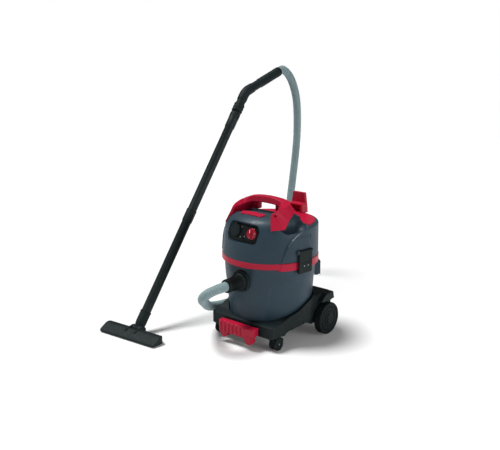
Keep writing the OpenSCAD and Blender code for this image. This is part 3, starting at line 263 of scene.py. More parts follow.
def from_points(name: str, points: list[Point3], faces: list[list[int]],
                edges: list[tuple[int, int]] | None = None) -> Obj:
    """Makes an object from points given in millimetres.

    Args:
        name: Name of the new object.
        points: The vertices.
        faces: Faces as lists of vertex numbers.
        edges: Loose edges, where there are no faces.

    Returns:
        The new object, linked to the scene.
    """
    mesh = bpy.data.meshes.new(name)
    mesh.from_pydata([[c * MM for c in p] for p in points], edges or [], faces)
    obj = bpy.data.objects.new(name, mesh)
    bpy.context.scene.collection.objects.link(obj)
    return obj


def place(obj: Obj, matrix: Matrix) -> Obj:
    """Moves obj by matrix, in metres, and applies it to the mesh."""
    obj.matrix_world = matrix
    wake(obj)
    bpy.ops.object.transform_apply(location=True, rotation=True, scale=True)
    return obj


def modify(obj: Obj, kind: str, **settings: object) -> Obj:
    """Adds one modifier with these settings and applies it."""
    wake(obj)
    mod = obj.modifiers.new(kind.lower(), kind)
    for key, value in settings.items():
        setattr(mod, key, value)
    bpy.ops.object.modifier_apply(modifier=mod.name)
    return obj


def bevelled(obj: Obj, width_mm: float, segments: int = 2, angle: float = 30) -> Obj:
    """Rounds the edges sharper than angle degrees."""
    return modify(obj, "BEVEL", width=width_mm * MM, segments=segments, limit_method="ANGLE",
                  angle_limit=math.radians(angle), use_clamp_overlap=True)


def carve(obj: Obj, tool: Obj, way: str = "DIFFERENCE") -> Obj:
    """Cuts, joins or intersects obj with tool, and deletes the tool."""
    modify(obj, "BOOLEAN", object=tool, operation=way, solver="EXACT")
    bpy.data.objects.remove(tool, do_unlink=True)
    return obj


def soften(obj: Obj, voxel_mm: float, rounds: int, keep: float) -> Obj:
    """Rounds every edge of a closed form as a mould does, by remeshing and smoothing it."""
    modify(obj, "REMESH", mode="VOXEL", voxel_size=voxel_mm * MM)
    modify(obj, "SMOOTH", factor=0.5, iterations=rounds)
    return modify(obj, "DECIMATE", ratio=keep)


def outward(obj: Obj) -> Obj:
    """Merges doubled vertices and turns all faces outwards."""
    with editing(obj):
        bpy.ops.mesh.remove_doubles(threshold=1e-6)
        bpy.ops.mesh.normals_make_consistent(inside=False)
    return obj


def skinned(name: str, points: list[Point3], around: int, capped: bool = True) -> Obj:
    """Skins rings of points, given in millimetres, and closes the first ring.

    Args:
        name: Name of the new object.
        points: The points, ring after ring.
        around: Number of points in each ring.
        capped: Whether the last ring is closed too.

    Returns:
        The skin, facing outwards.
    """
    rows = len(points) // around
    faces = [[i * around + k, i * around + (k + 1) % around,
              (i + 1) * around + (k + 1) % around, (i + 1) * around + k]
             for i in range(rows - 1) for k in range(around)]
    faces.append(list(range(around))[::-1])
    if capped:
        faces.append([(rows - 1) * around + k for k in range(around)])
    return outward(from_points(name, points, faces))


def lathe(name: str, outline: list[Point], steps: int = 96) -> Obj:
    """Spins an outline of (radius, height) points, in millimetres, round Z.

    Args:
        name: Name of the new object.
        outline: An outline that starts and ends on the axis, or a ring's whole section.
        steps: Number of steps round the axis.

    Returns:
        The closed form.
    """
    closing = outline[:1] if outline[0][0] > 0 else []
    points = [(r, 0.0, z) for r, z in [*outline, *closing]]
    obj = from_points(name, points, [], [(i, i + 1) for i in range(len(points) - 1)])
    with editing(obj):
        bpy.ops.mesh.spin(steps=steps, angle=math.tau, center=(0, 0, 0), axis=(0, 0, 1))
    return outward(obj)


def peg(name: str, radius: float, low: float, high: float, steps: int = 48) -> Obj:
    """A plain round cutter along Z, in millimetres."""
    return lathe(name, [(0, low), (radius, low), (radius, high), (0, high)], steps)


def prism(name: str, outline: list[Point], low: float, high: float, axis: str = "Z") -> Obj:
    """Extrudes an outline, in millimetres, from low to high along an axis.

    Args:
        name: Name of the new object.
        outline: Points (x, y) for Z, (y, z) for X, or (x, z) for Y.
        low: Where the form starts.
        high: Where it ends.
        axis: "X", "Y" or "Z".

    Returns:
        The closed form.
    """
    lay = {"Z": lambda p: (p[0], p[1], low), "X": lambda p: (low, p[0], p[1]),
           "Y": lambda p: (p[0], low, p[1])}[axis]
    step = {"Z": (0, 0, 1), "X": (1, 0, 0), "Y": (0, 1, 0)}[axis]
    obj = from_points(name, [lay(p) for p in outline], [list(range(len(outline)))])
    with editing(obj):
        bpy.ops.mesh.extrude_region_move(
            TRANSFORM_OT_translate={"value": [s * (high - low) * MM for s in step]})
    return outward(obj)


def block(name: str, low: Point3, high: Point3) -> Obj:
    """A box between two corners, in millimetres."""
    return prism(name, [(low[0], low[1]), (high[0], low[1]), (high[0], high[1]),
                        (low[0], high[1])], low[2], high[2])


def rounded(corners: list[Corner], steps: int = 5) -> list[Point]:
    """Rounds the corners of an outline.

    Args:
        corners: The corners, counter-clockwise.
        steps: Number of steps in each corner.

    Returns:
        The outline with arcs in its corners.
    """
    out: list[Point] = []
    for i, (x, y, r) in enumerate(corners):
        a, b = Vector(corners[i - 1][:2]), Vector(corners[(i + 1) % len(corners)][:2])
        p = Vector((x, y))
        if r <= 0:
            out.append((x, y))
            continue
        u, v = (a - p).normalized(), (b - p).normalized()
        half = u.angle(v) / 2
        run = min(r / math.tan(half), 0.49 * (a - p).length, 0.49 * (b - p).length)
        for k in range(steps + 1):
            t = k / steps
            q = (1 - t) ** 2 * (p + u * run) + 2 * t * (1 - t) * p + t * t * (p + v * run)
            out.append((q.x, q.y))
    return out


def grown(corners: list[Corner], by: float) -> list[Corner]:
    """Moves each side of a convex, counter-clockwise outline out by a distance."""
    out = []
    for i, (x, y, r) in enumerate(corners):
        p = Vector((x, y))
        a = (p - Vector(corners[i - 1][:2])).normalized()
        b = (Vector(corners[(i + 1) % len(corners)][:2]) - p).normalized()
        na, nb = Vector((a.y, -a.x)), Vector((b.y, -b.x))
        mitre = (na + nb) / max(0.2, 1 + na.dot(nb))
        out.append((x + mitre.x * by, y + mitre.y * by, max(0.0, r + by)))
    return out


def rod(name: str, radius: float, length: float, matrix: Matrix, edge: float = 0.4) -> Obj:
    """A rod with rounded ends along the matrix's Z, from its origin."""
    obj = lathe(name, [(0, 0), (radius - edge, 0), (radius, edge), (radius, length - edge),
                       (radius - edge, length), (0, length)], 48)
    return place(obj, matrix)


def copy_of(node: str, name: str) -> Obj:
    """A merged copy of a CAD node's mesh, as a start for a softer piece."""
    obj = bpy.data.objects.new(name, NODES[node].data.copy())
    obj.data.materials.clear()
    bpy.context.scene.collection.objects.link(obj)
    with editing(obj):
        bpy.ops.mesh.remove_doubles(threshold=2e-6)
    return obj


def mirrored(obj: Obj, name: str) -> Obj:
    """Returns a twin of obj on the other side of the machine, with its own mesh."""
    wake(obj)
    bpy.ops.object.duplicate(linked=False)
    twin = bpy.context.active_object
    twin.name = name
    return outward(place(twin, MIRROR))


def joined(parts: list[Obj]) -> Obj:
    """Joins parts into the first of them."""
    wake(parts[0])
    for part in parts[1:]:
        part.select_set(True)
    bpy.ops.object.join()
    return parts[0]


def screw(name: str, outline: list[Point], top: float, reach: float) -> Obj:
    """Returns a screw with a cross recess.

    Args:
        name: Name of the piece.
        outline: Half section as (radius, height).
        top: Height of the head's top.
        reach: Half length of the recess.

    Returns:
        The screw, along Z.
    """
    body = lathe(name, outline, 40)
    for turned in (20, 110):
        slot = block("slot", (-reach, -0.5, top - 1.3), (reach, 0.5, top + 2))
        carve(body, place(slot, turn(z=turned)))
    return bevelled(body, 0.15, 2, 40)


def finish_piece(obj: Obj, finish: Finish, body: str, slot: str,
                 *replaced: str, angle: float = 35) -> None:
    """Dresses a piece, hangs it on its body and reports it.

    Args:
        obj: The piece.
        finish: Its finish.
        body: The body that it moves with.
        slot: The record's material slot; not used.
        replaced: CAD nodes that the piece stands for.
        angle: Edges sharper than this stay sharp in the shading.
    """
    obj.data.materials.clear()
    obj.data.materials.append(finish.material())
    wake(obj)
    bpy.ops.object.shade_smooth_by_angle(angle=math.radians(angle))
    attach(obj, body)
    if replaced:
        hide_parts(*replaced)
    log.info("%s: %d faces on %s", obj.name, len(obj.data.polygons), body)


def stand_in(node: str, obj: Obj, angle: float = 35) -> None:
    """Dresses obj as the piece that stands for one CAD node."""
    finish_piece(obj, finish_of(node), BODY_OF[node], SLOT_OF[node], node, angle=angle)


def turn(x: float = 0, y: float = 0, z: float = 0) -> Matrix:
    """Rotation by degrees about X, then Y, then Z."""
    return (Matrix.Rotation(math.radians(z), 4, "Z") @ Matrix.Rotation(math.radians(y), 4, "Y")
            @ Matrix.Rotation(math.radians(x), 4, "X"))


def shift(x: float, y: float, z: float) -> Matrix:
    """Translation by millimetres."""
    return Matrix.Translation((x * MM, y * MM, z * MM))


# ---------------------------------------------------------------- the studio

@dataclass
class Studio:
    """Camera, floor and light."""
    eye: Point3 = (1.929, -2.369, 1.220)
    right: Point3 = (0.75857, 0.65158, 0.0)
    up: Point3 = (-0.16030, 0.18662, 0.96926)
    back: Point3 = (0.63157, -0.73526, 0.24602)
    lens: float = 57.6
    sensor: float = 36.0
    floor_r: float = 6.0
    paper: float = 0.88
    paper_lift: float = 0.05
    surroundings: float = 0.14
    lamps: tuple[tuple[str, float, float, Point3], ...] = (
        ("key", 3.3, 20, (-1.3, -0.75, 3.9)), ("fill", 1.1, 40, (3.0, 0.5, 0.80)))

    def camera(self) -> None:
        """Adds the camera."""
        data = bpy.data.cameras.new("camera")
        data.lens = self.lens
        data.sensor_width = self.sensor
        cam = bpy.data.objects.new("camera", data)
        turned = Matrix((self.right, self.up, self.back)).transposed().to_4x4()
        cam.matrix_world = Matrix.Translation(self.eye) @ turned
        bpy.context.scene.collection.objects.link(cam)
        bpy.context.scene.camera = cam

    def floor(self) -> None:
        """Adds the pale floor, which keeps the object's shadow."""
        bpy.ops.object.select_all(action="DESELECT")
        bpy.ops.mesh.primitive_circle_add(vertices=96, radius=self.floor_r, fill_type="NGON",
                                          location=(0, 0, -0.5 * MM))
        plane = bpy.context.active_object
        plane.name = "floor"
        mat = bpy.data.materials.new("floor_paper")
        mat.use_nodes = True
        tree = mat.node_tree
        tree.nodes.clear()
        paint = add_node(tree, "BsdfDiffuse", {"Color": (*[self.paper] * 3, 1)})
        seen = add_node(tree, "LightPath").outputs["Is Camera Ray"]
        lift = add_node(tree, "Math", {0: seen, 1: self.paper_lift}, operation="MULTIPLY")
        glow = add_node(tree, "Emission", {"Strength": lift.outputs[0]})
        both = add_node(tree, "AddShader", {0: paint.outputs[0], 1: glow.outputs[0]})
        add_node(tree, "OutputMaterial", {"Surface": both.outputs[0]})
        plane.data.materials.append(mat)

    def light(self) -> None:
        """Adds a soft key light, a weak fill and the white surroundings."""
        for name, strength, angle, where in self.lamps:
            data = bpy.data.lights.new(name, "SUN")
            data.energy = strength
            data.angle = math.radians(angle)
            lamp = bpy.data.objects.new(name, data)
            lamp.rotation_mode = "QUATERNION"
            lamp.rotation_quaternion = (-Vector(where)).to_track_quat("-Z", "Y")
            bpy.context.scene.collection.objects.link(lamp)
        world = bpy.data.worlds.new("surroundings")
        bpy.context.scene.world = world
        world.use_nodes = True
        tree = world.node_tree
        path = add_node(tree, "LightPath").outputs
        seen = add_node(tree, "Math", {0: path["Is Camera Ray"], 1: path["Is Transmission Ray"]},
                        operation="MAXIMUM")
        level = add_node(tree, "MapRange", {"To Min": self.surroundings, "To Max": 1.0,
                                            "Value": seen.outputs[0]})
        wire(tree, tree.nodes["Background"], {"Color": (1, 1, 1, 1),
                                              "Strength": level.outputs["Result"]})

    def build(self) -> None:
        """Builds the whole studio."""
        self.camera()
        self.floor()
        self.light()
        bpy.context.scene.view_settings.view_transform = "Standard"
        log.info("studio ready")


# ---------------------------------------------------------------- hose

HOSE_ROUTE: tuple[Point3, ...] = (
    (0, -262.2, 257), (0, -272, 257), (0, -285, 257), (-4, -310, 255), (-20, -328, 245),
    (-46, -328, 226), (-74, -310, 206), (-102, -283, 184), (-133, -238, 154), (-168, -185, 120),
    (-203, -118, 92), (-234, -34, 68), (-262, 52, 50), (-287, 138, 34), (-306, 228, 23),
    (-320, 320, 19.5), (-336, 412, 19.5), (-360, 496, 28), (-390, 570, 58), (-418, 630, 112),
    (-434, 668, 188), (-441, 686, 280), (-443, 698, 366), (-443, 714, 460), (-443, 731, 560),
    (-443, 744, 660), (-444, 748, 740), (-445, 746, 810), (-446, 737, 870), (-448, 719, 922),
    (-450, 694, 964), (-451, 664, 991), (-451, 638, 1003), (-450.5, 620.5, 1000.2),
    (-449.87, 612.15, 997.7), (-449.25, 603.8, 995.2))


@dataclass
class SuctionHose:
    """The corrugated hose, from the tank's inlet to the hand grip."""
    crest: float = 18.9
    valley: float = 17.0
    pitch: float = 6.4
    sides: int = 20
    steps: int = 16              # steps of the centre line between two points of the route

    def line(self) -> tuple[list[Vector], list[float]]:
        """Returns the smooth centre line in metres and the distance run at each point."""
        pts = [Vector(p) * MM for p in HOSE_ROUTE]
        ext = [2 * pts[0] - pts[1], *pts, 2 * pts[-1] - pts[-2]]
        out: list[Vector] = []
        for i in range(1, len(ext) - 2):
            p0, p1, p2, p3 = ext[i - 1:i + 3]
            for k in range(self.steps):
                t = k / self.steps
                out.append(0.5 * (2 * p1 + (p2 - p0) * t + (2 * p0 - 5 * p1 + 4 * p2 - p3) * t * t
                                  + (3 * p1 - p0 - 3 * p2 + p3) * t ** 3))
        out.append(pts[-1])
        run = [0.0]
        for a, b in zip(out, out[1:]):
            run.append(run[-1] + (b - a).length)
        return out, run

    def build(self) -> None:
        line, run = self.line()
        total = run[-1]
        count = round(total / (self.pitch * MM))
        shape = ((0.0, self.valley), (0.22, self.valley), (0.34, self.crest - 0.5),
                 (0.5, self.crest), (0.78, self.crest), (0.9, self.crest - 0.5))
        places = [((i + u) * total / count, r) for i in range(count) for u, r in shape]
        places.append((total, self.valley))
        verts: list[Point3] = []
        side = Vector((1, 0, 0))
        j = 0
        for s, radius in places:
            while j < len(run) - 2 and run[j + 1] < s:
                j += 1
            t = (s - run[j]) / max(1e-9, run[j + 1] - run[j])
            centre = line[j].lerp(line[j + 1], min(1.0, t))
            ahead = (line[min(j + 2, len(line) - 1)] - line[max(j - 1, 0)]).normalized()
            side = (side - ahead * side.dot(ahead)).normalized()
            other = ahead.cross(side)
            for k in range(self.sides):
                a = math.tau * k / self.sides
                p = centre + (side * math.cos(a) + other * math.sin(a)) * radius * MM
                verts.append(tuple(c / MM for c in p))
        hose = skinned("ribbed_hose", verts, self.sides)
        stand_in("hose", hose, angle=60)
        log.info("hose is %.2f m long", total)


# ---------------------------------------------------------------- tank

@dataclass
class Tank:
    """The waste tank with its rim band and inlet."""
    floor_z: float = 62
    rim_z: float = 322
    corner: float = 40
    flat_y: float = 173
    panel_half: float = 138
    panel_top: float = 261
    panel_depth: float = 2.4
    panel_corner: float = 34
    panel_step: float = 1.8      # width of the step round a side panel
    front_soft: float = 5        # half width of the bend beside the flat front
    wall: float = 3.4
    around: int = 360            # number of points in each ring of the wall
    inlet_z: float = 257
    screw_ring: float = 38
    ribs: int = 8
    profile: tuple[Point, ...] = ((102, 163), (134, 165.6), (177, 171.5), (222, 175), (270, 178.4),
                                  (318, 181), (322, 181))

    def radius(self, z: float) -> float:
        """Returns the outer radius of the round tank at a height."""
        low, r_low = self.profile[0]
        if z < low:
            return r_low - self.corner + math.sqrt(max(0, self.corner ** 2 - (low - z) ** 2))
        for (z0, r0), (z1, r1) in zip(self.profile, self.profile[1:]):
            if z <= z1:
                t = (z - z0) / (z1 - z0)
                return r0 + (r1 - r0) * t
        return self.profile[-1][1]

    def surface(self, angle: float, z: float) -> Point3:
        """Returns the point of the tank's wall at an angle and a height."""
        r = self.radius(z)
        x, y = r * math.cos(angle), r * math.sin(angle)
        soft = self.front_soft
        if -y > self.flat_y - soft:
            over = min(1.0, (-y - self.flat_y + soft) / (2 * soft))
            y = -(self.flat_y - soft + 2 * soft * (over - 0.5 * over * over))
            y = max(y, -self.flat_y)
        if abs(x) > 60:
            corner = self.panel_corner
            dy = abs(y) - (self.panel_half - corner)
            dz = z - (self.panel_top - corner)
            inside = corner - math.hypot(max(dy, 0), max(dz, 0)) if max(dy, dz) > 0 else corner
            sunk = min(1.0, max(0.0, inside / self.panel_step))
            cut = self.panel_depth * sunk * sunk * (3 - 2 * sunk)
            x -= cut * x / r
            y -= cut * y / r
        return (x, y, z)

    def body(self) -> None:
        """Models the tank's wall with its flat front and sunk side panels."""
        around = self.around
        rows = [self.floor_z + 0.3 + self.corner * (1 - math.cos(math.radians(a)))
                for a in range(14, 90, 8)]
        z = self.floor_z + self.corner
        while z < self.rim_z:
            rows.append(z)
            z += 1.3 if 218 < z < 268 else 3.2
        rows.append(self.rim_z - 0.2)
        verts = [self.surface(math.tau * k / around, zz) for zz in rows for k in range(around)]
        tank = skinned("tank_wall", verts, around, capped=False)
        modify(tank, "SOLIDIFY", thickness=self.wall * MM, offset=-1)
        hole = peg("inlet_hole", 26, 0, 60, 64)
        carve(tank, place(hole, shift(0, -140, self.inlet_z) @ turn(x=90)))
        stand_in("tank", tank, angle=40)

    def band(self) -> None:
        """Models the red band with its deeper skirts beside the latches."""
        outline = [(181.3, 317.2), (188.6, 317.2), (190, 318.4), (190, 338.6), (188.8, 340),
                   (172.2, 340), (172.2, 330.2), (166.2, 330.2), (166.2, 322.4), (181.3, 322.4)]
        band = lathe("rim_band_ring", outline, 180)
        skirt = lathe("skirt", [(181.4, 310.2), (190.4, 310.2), (191.5, 311.4), (191.5, 338.8),
                                (190.6, 339.9), (182.6, 339.9), (182.6, 317.4), (181.4, 317.4)], 180)
        carve(skirt, block("keep", (-200, -120, 300), (200, 120, 350)), "INTERSECT")
        bevelled(skirt, 0.8, 2, 60)
        stand_in("rim_band", band)
        finish_piece(skirt, RED, MACHINE, SLOT_OF["rim_band"])

    def inlet(self) -> None:
        """Models the inlet's flange with its screws, and the hose connector with its ribs."""
        z = self.inlet_z
        flange = lathe("inlet_ring", [(25, -14), (26.8, -14), (26.8, 0), (43, 0), (43, 6.6),
                                      (41, 8.8), (36.5, 9), (35.5, 7.4), (33.6, 7.4), (33, 9),
                                      (33, 20.4), (31.8, 22), (25, 22)], 96)
        stand_in("inlet_flange", place(flange, shift(0, -self.flat_y, z) @ turn(x=90)))
        screws = []
        for k in range(4):
            a = math.radians(45 + 90 * k)
            head = screw("inlet_screw_set", [(0, -10), (2.1, -10), (2.1, 9), (4, 9), (3.4, 11),
                                             (2.6, 11.4), (0, 11.4)], 11.4, 2.2)
            x, up = self.screw_ring * math.cos(a), self.screw_ring * math.sin(a)
            screws.append(place(head, shift(x, -self.flat_y, z + up) @ turn(x=90)))
        stand_in("inlet_screws", joined(screws))
        tip = 262 - self.flat_y
        body = [(16, -30), (24.9, -30), (24.9, 22.1), (30.4, 22.1), (31, 22.8), (31, 33),
                (30, 34.2), (28.6, 34.6), (25.6, 74), (26, 75.4), (26.8, 76), (26.8, 79),
                (25.8, 80), (25.8, 81.5), (26.8, 82.5), (26.8, 85.5), (25.8, tip), (16, tip)]
        cone = lathe("connector_body", body, 96)
        for k in range(self.ribs):
            bar = bevelled(block("bar", (-2.2, 28.4, 24), (2.2, 32.6, 33)), 0.8)
            carve(cone, place(bar, turn(z=360 / self.ribs * k + 22.5)), "UNION")
        stand_in("hose_connector", place(cone, shift(0, -self.flat_y, z) @ turn(x=90)))

    def build(self) -> None:
        """Builds the tank."""
        self.body()
        self.band()
        self.inlet()


# ---------------------------------------------------------------- head

LATCH_TURN = -8.5            # degrees by which the latches sit forward of the machine's sides
LATCH_X = 195                # the axis of the right latch's barrel, in its turned frame
LATCH_Z = 380
PANEL_AT: Point3 = (0, -156, 447)
PANEL_TILT = 77              # degrees by which the panel is tipped up from lying flat


def on_latch(x: float, y: float, z: float) -> Matrix:
    """Place in the right latch's turned frame."""
    return turn(z=LATCH_TURN) @ shift(x, y, z)


def on_panel(x: float = 0, y: float = 0, z: float = 0) -> Matrix:
    """Place on the control panel: x to the right, y up the panel, z outwards."""
    return shift(*PANEL_AT) @ turn(x=PANEL_TILT) @ shift(x, y, z)


PANEL: list[Corner] = [
    (-74, -14, 9), (-67, -34, 7), (-40, -39, 5), (30, -39, 5), (64, -33, 7), (74, 13, 9),
    (62, 31, 7), (-60, 34, 7)]
PAD_ARCH: list[Corner] = [
    (-118, 345, 0), (36, 345, 0), (28, 368, 6), (14, 406, 8), (4, 436, 10), (-24, 438, 10),
    (-54, 434, 10), (-78, 424, 10), (-94, 406, 10), (-106, 378, 8), (-116, 352, 6)]


@dataclass
class MotorHead:
    """The motor head: its shell, latch seats, control panel, tool outlet and cord gland."""
    base_z: float = 340
    dome_h: float = 176
    dome_rows: int = 44
    rim_r: float = 190
    deck_z: float = 468
    dome_back: float = 16
    dome_lean: float = 17.5      # how far the dome's side leans in towards its top
    scoop_r: float = 40
    scoop_track: float = 160
    scoop_turns: tuple[float, ...] = tuple(-27 + 2.9 * k for k in range(7))      # degrees
    flutes: int = 12
    gland_z: float = 385
    knob_at: Point = (39, -1)
    socket_at: Point = (-46, 2)
    lenses_at: tuple[Point, ...] = ((-14, 19), (-17, -22), (3, -17))
    pin_gap: float = 9.5         # from the socket's middle to a pin, and to an ear of its lid

    def dome(self) -> Obj:
        """Returns the round dome."""
        outline: list[Point] = [(0, self.base_z), (self.rim_r, self.base_z)]
        for i in range(1, self.dome_rows + 1):
            t = math.sin(math.pi / 2 * i / self.dome_rows)
            r = (self.rim_r - self.dome_lean * t) * (1 - t ** 8) ** (1 / 3)
            outline.append((r, self.base_z + t * self.dome_h))
        return lathe("dome", outline, 160)

    def form(self) -> Obj:
        """Returns the head's outer form, with scoops, deck and finger trough."""
        z, top, back = self.base_z, self.deck_z, self.dome_back
        head = self.dome()
        cut = prism("front_part", [(-200, z - 5), (back, z - 5), (back, top - 3), (6, top + 40),
                                   (-2, z + 190), (-200, z + 190)], -205, 205, "X")
        carve(head, cut, "INTERSECT")
        arc = [(181 + 8 * math.cos(math.radians(a)), top - 8 + 8 * math.sin(math.radians(a)))
               for a in range(0, 91, 15)]
        rear = lathe("rear", [(0, z), (190, z), *arc, (0, top)], 160)
        cut = prism("rear_part", [(-117, z - 5), (200, z - 5), (200, top + 1), (back - 4, top + 1),
                                  (-30, z + 117), (-53, z + 103), (-77, z + 86), (-93, z + 67),
                                  (-105, z + 40), (-115, z + 12)], -205, 205, "X")
        carve(rear, cut, "INTERSECT")
        carve(head, rear, "UNION")
        radius = self.scoop_r
        ball = [(radius * math.sin(math.radians(a)), -radius * math.cos(math.radians(a)))
                for a in range(0, 181, 10)]
        ball[0], ball[-1] = (0, -radius), (0, radius)
        for side in (-1, 1):
            for turned in self.scoop_turns:
                angle = math.radians(turned)
                x, y = self.scoop_track * math.cos(angle), self.scoop_track * math.sin(angle)
                carve(head, place(lathe("scoop", ball, 36), shift(side * x, y, top + 17)))
        carve(head, block("trough", (-104, -96, 500), (104, back + 1, 540)))
        return head

    @staticmethod
    def seam() -> Obj:
        """Returns the cutter of the seam behind the latch pads."""
        ring = lathe("seam", [(185.5, 338), (200, 338), (200, 450), (185.5, 450)], 160)
        line = prism("line", [(35, 345), (38, 345), (16, 406), (7.5, 442), (4.5, 442), (13, 406)],
                     -205, 205, "X")
        return carve(ring, line, "INTERSECT")

    @staticmethod
    def shell_pair(obj: Obj) -> None:
        """Dresses a right-hand piece of the shell and its twin on the left."""
        for piece in (mirrored(obj, obj.name.replace("right", "left")), obj):
            finish_piece(piece, SHELL, MACHINE, "shell_grey")

    def pads(self) -> None:
        """Models the arched pads that carry the latches, one on each side."""
        z = self.base_z
        pad = lathe("latch_pad_right", [(184, z + 0.2), (192.4, z + 0.2), (190.2, 444),
                                        (182, 444)], 240)
        carve(pad, prism("arch", rounded(PAD_ARCH, 6), 100, 205, "X"), "INTERSECT")
        bevelled(pad, 1.6, 4, 40)
        self.barrel_room(pad)
        self.shell_pair(pad)

    @staticmethod
    def barrel_room(obj: Obj) -> None:
        """Cuts the room for the right latch's barrel."""
        barrel = peg("barrel", 7.4, -33.6, 33.6, 40)
        carve(obj, place(barrel, on_latch(LATCH_X, 0, LATCH_Z) @ turn(x=90)))

    def ears(self) -> None:
        """Models the ears that hold the latches' pins."""
        for end, word in ((-1, "front"), (1, "rear")):
            ear = prism(f"latch_ear_right_{word}", rounded([
                (187.5, 368, 0), (193, 368, 2), (201.5, 377, 5), (201.5, 386.5, 5),
                (187.5, 386.5, 0)]), -2.5, 2.5, "Y")
            self.shell_pair(bevelled(place(ear, on_latch(0, end * 36.1, 0)), 0.7))

    def shell(self) -> None:
        """Models the shell: the form, softened, hollowed and cut for what it carries."""
        head = self.form()
        soften(head, 2.0, 4, 0.5)
        carve(head, block("below", (-220, -220, 300), (220, 220, 340.2)))
        carve(head, self.seam())
        hollow = lathe("hollow", [(0, 330), (180, 330), (180, 352), (165, 380), (150, 405),
                                  (140, 438), (0, 438)], 120)
        carve(head, hollow)
        low, high = rounded(grown(PANEL, 3.5)), rounded(grown(PANEL, 10))
        funnel = skinned("funnel", [(x, y, 1.2) for x, y in low] + [(x, y, 30) for x, y in high],
                         len(low))
        carve(head, place(funnel, on_panel()))
        carve(head, place(prism("deep", rounded(PANEL), -4.1, 60), on_panel()))
        carve(head, block("window", (-52, 140, 406), (52, 200, 444)))
        self.barrel_room(head)
        place(head, MIRROR)
        self.barrel_room(outward(head))
        place(head, MIRROR)
        stand_in("head_shell", outward(head), angle=40)

    def panel(self) -> None:
        """Models the control panel and what is on it."""
        plate = prism("panel_plate", rounded(grown(PANEL, -0.3)), -4, 0)
        for at, r in ((self.knob_at, 3.3), (self.socket_at, 20.8),
                      *((spot, 3.8) for spot in self.lenses_at)):
            carve(plate, place(peg("bore", r, -9, 9), shift(*at, 0)))
        bevelled(plate, 0.6, 2, 40)
        stand_in("control_panel", place(plate, on_panel()))
        ring = lathe("knob_seat", [(23.4, -0.2), (26.6, -0.2), (26.2, 0.9), (25.2, 1.3),
                                   (24.2, 1.1)], 72)
        finish_piece(place(ring, on_panel(*self.knob_at)), GLOSSY, MACHINE, "detail_dark")
        lens = [(0, -4), (3.45, -4), (3.45, 0.4), (2.9, 0.9), (1.6, 1.2), (0, 1.3)]
        lenses = [place(lathe("indicator_lens_set", lens, 32), on_panel(*spot))
                  for spot in self.lenses_at]
        stand_in("indicator_lenses", joined(lenses))

    def knob(self) -> None:
        """Models the power knob with its fluted skirt and grip bar."""
        knob = lathe("knob_body", [(0, -12), (3, -12), (3, 0.4), (21.2, 0.4), (22, 1.2), (22, 4.6),
                                   (21, 5.4), (20, 5.8), (18.6, 11.4), (17.6, 12.4), (0, 12.8)], 96)
        for k in range(self.flutes):
            flute = peg("flute", 2.7, 1.6, 20, 20)
            carve(knob, place(flute, turn(z=15 + 360 / self.flutes * k) @ shift(23, 0, 0)))
        carve(knob, bevelled(block("bar", (-4.6, -18, 6), (4.6, 18, 17.2)), 1.8, 3), "UNION")
        bevelled(knob, 0.4, 2, 50)
        stand_in("power_knob", place(knob, on_panel(*self.knob_at)))
        mark = bevelled(block("knob_mark", (-0.9, 4, 17.0), (0.9, 15, 17.5)), 0.2)
        finish_piece(place(mark, on_panel(*self.knob_at)), WHITE, "knob", "lens")

    def outlet(self) -> None:
        """Models the tool outlet and its sprung lid."""
        socket = lathe("outlet_body", [(0, -16), (20.5, -16), (20.5, 0), (26, 0), (26, 1.3),
                                       (25.3, 2), (19.3, 2), (18.5, 1.2), (18.5, -12), (0, -12)], 96)
        pins = (-self.pin_gap, self.pin_gap)
        for x in pins:
            carve(socket, place(peg("pin_hole", 2.4, -15, -7, 24), shift(x, 0, 0)))
            ear = block("ear", (x - 1.5, 24.2, 0.5), (x + 1.5, 28.8, 6.5))
            carve(socket, bevelled(ear, 0.5), "UNION")
        stand_in("outlet_socket", place(socket, on_panel(*self.socket_at)))
        lid = lathe("lid_plate", [(0, 0), (24.3, 0), (25, 0.7), (25, 2.1), (24.1, 3), (21.6, 3),
                                  (21.1, 2.5), (20.3, 2.5), (19.8, 3), (0, 3)], 96)
        carve(lid, place(peg("notch", 4, 2, 7, 32), shift(0, -23, 0)))
        for x in pins:
            carve(lid, block("room", (x - 2.2, 21, -1), (x + 2.2, 30, 5)))
        carve(lid, bevelled(block("strap", (-7, 21, 0.4), (7, 26, 3.0)), 0.3), "UNION")
        for radius, half in ((1.8, 7.4), (1.3, 10.8)):
            bar = rod("hinge_bar", radius, 2 * half, shift(-half, 26, 1.8) @ turn(y=90), 0.3)
            carve(lid, bar, "UNION")
        stand_in("outlet_lid", place(lid, on_panel(*self.socket_at, 2.4)))

    def rear(self) -> None:
        """Models the cord gland with its bending sleeve, and the exhaust grille."""
        rings = [(r - step * k, y + 2 * k) for k in range(4) for r, step, y in
                 ((8.9, 0.5, 190), (8.9, 0.5, 191.2), (7.6, 0.4, 191.5), (7.6, 0.4, 191.9))]
        gland = lathe("gland", [(4.5, 177), (9, 177), (9, 185.2), (11.6, 185.2), (12, 185.6),
                                (12, 188.4), (11.4, 189), (9, 189), *rings, (6.3, 198),
                                (4.5, 198)], 64)
        stand_in("cord_gland", place(gland, shift(0, 0, self.gland_z) @ turn(x=-90)))
        stand_in("exhaust_grille", bevelled(copy_of("exhaust_grille", "grille"), 0.5, 2, 50))

    def build(self) -> None:
        """Builds the head."""
        self.shell()
        self.pads()
        self.ears()
        self.panel()
        self.knob()
        self.outlet()
        self.rear()


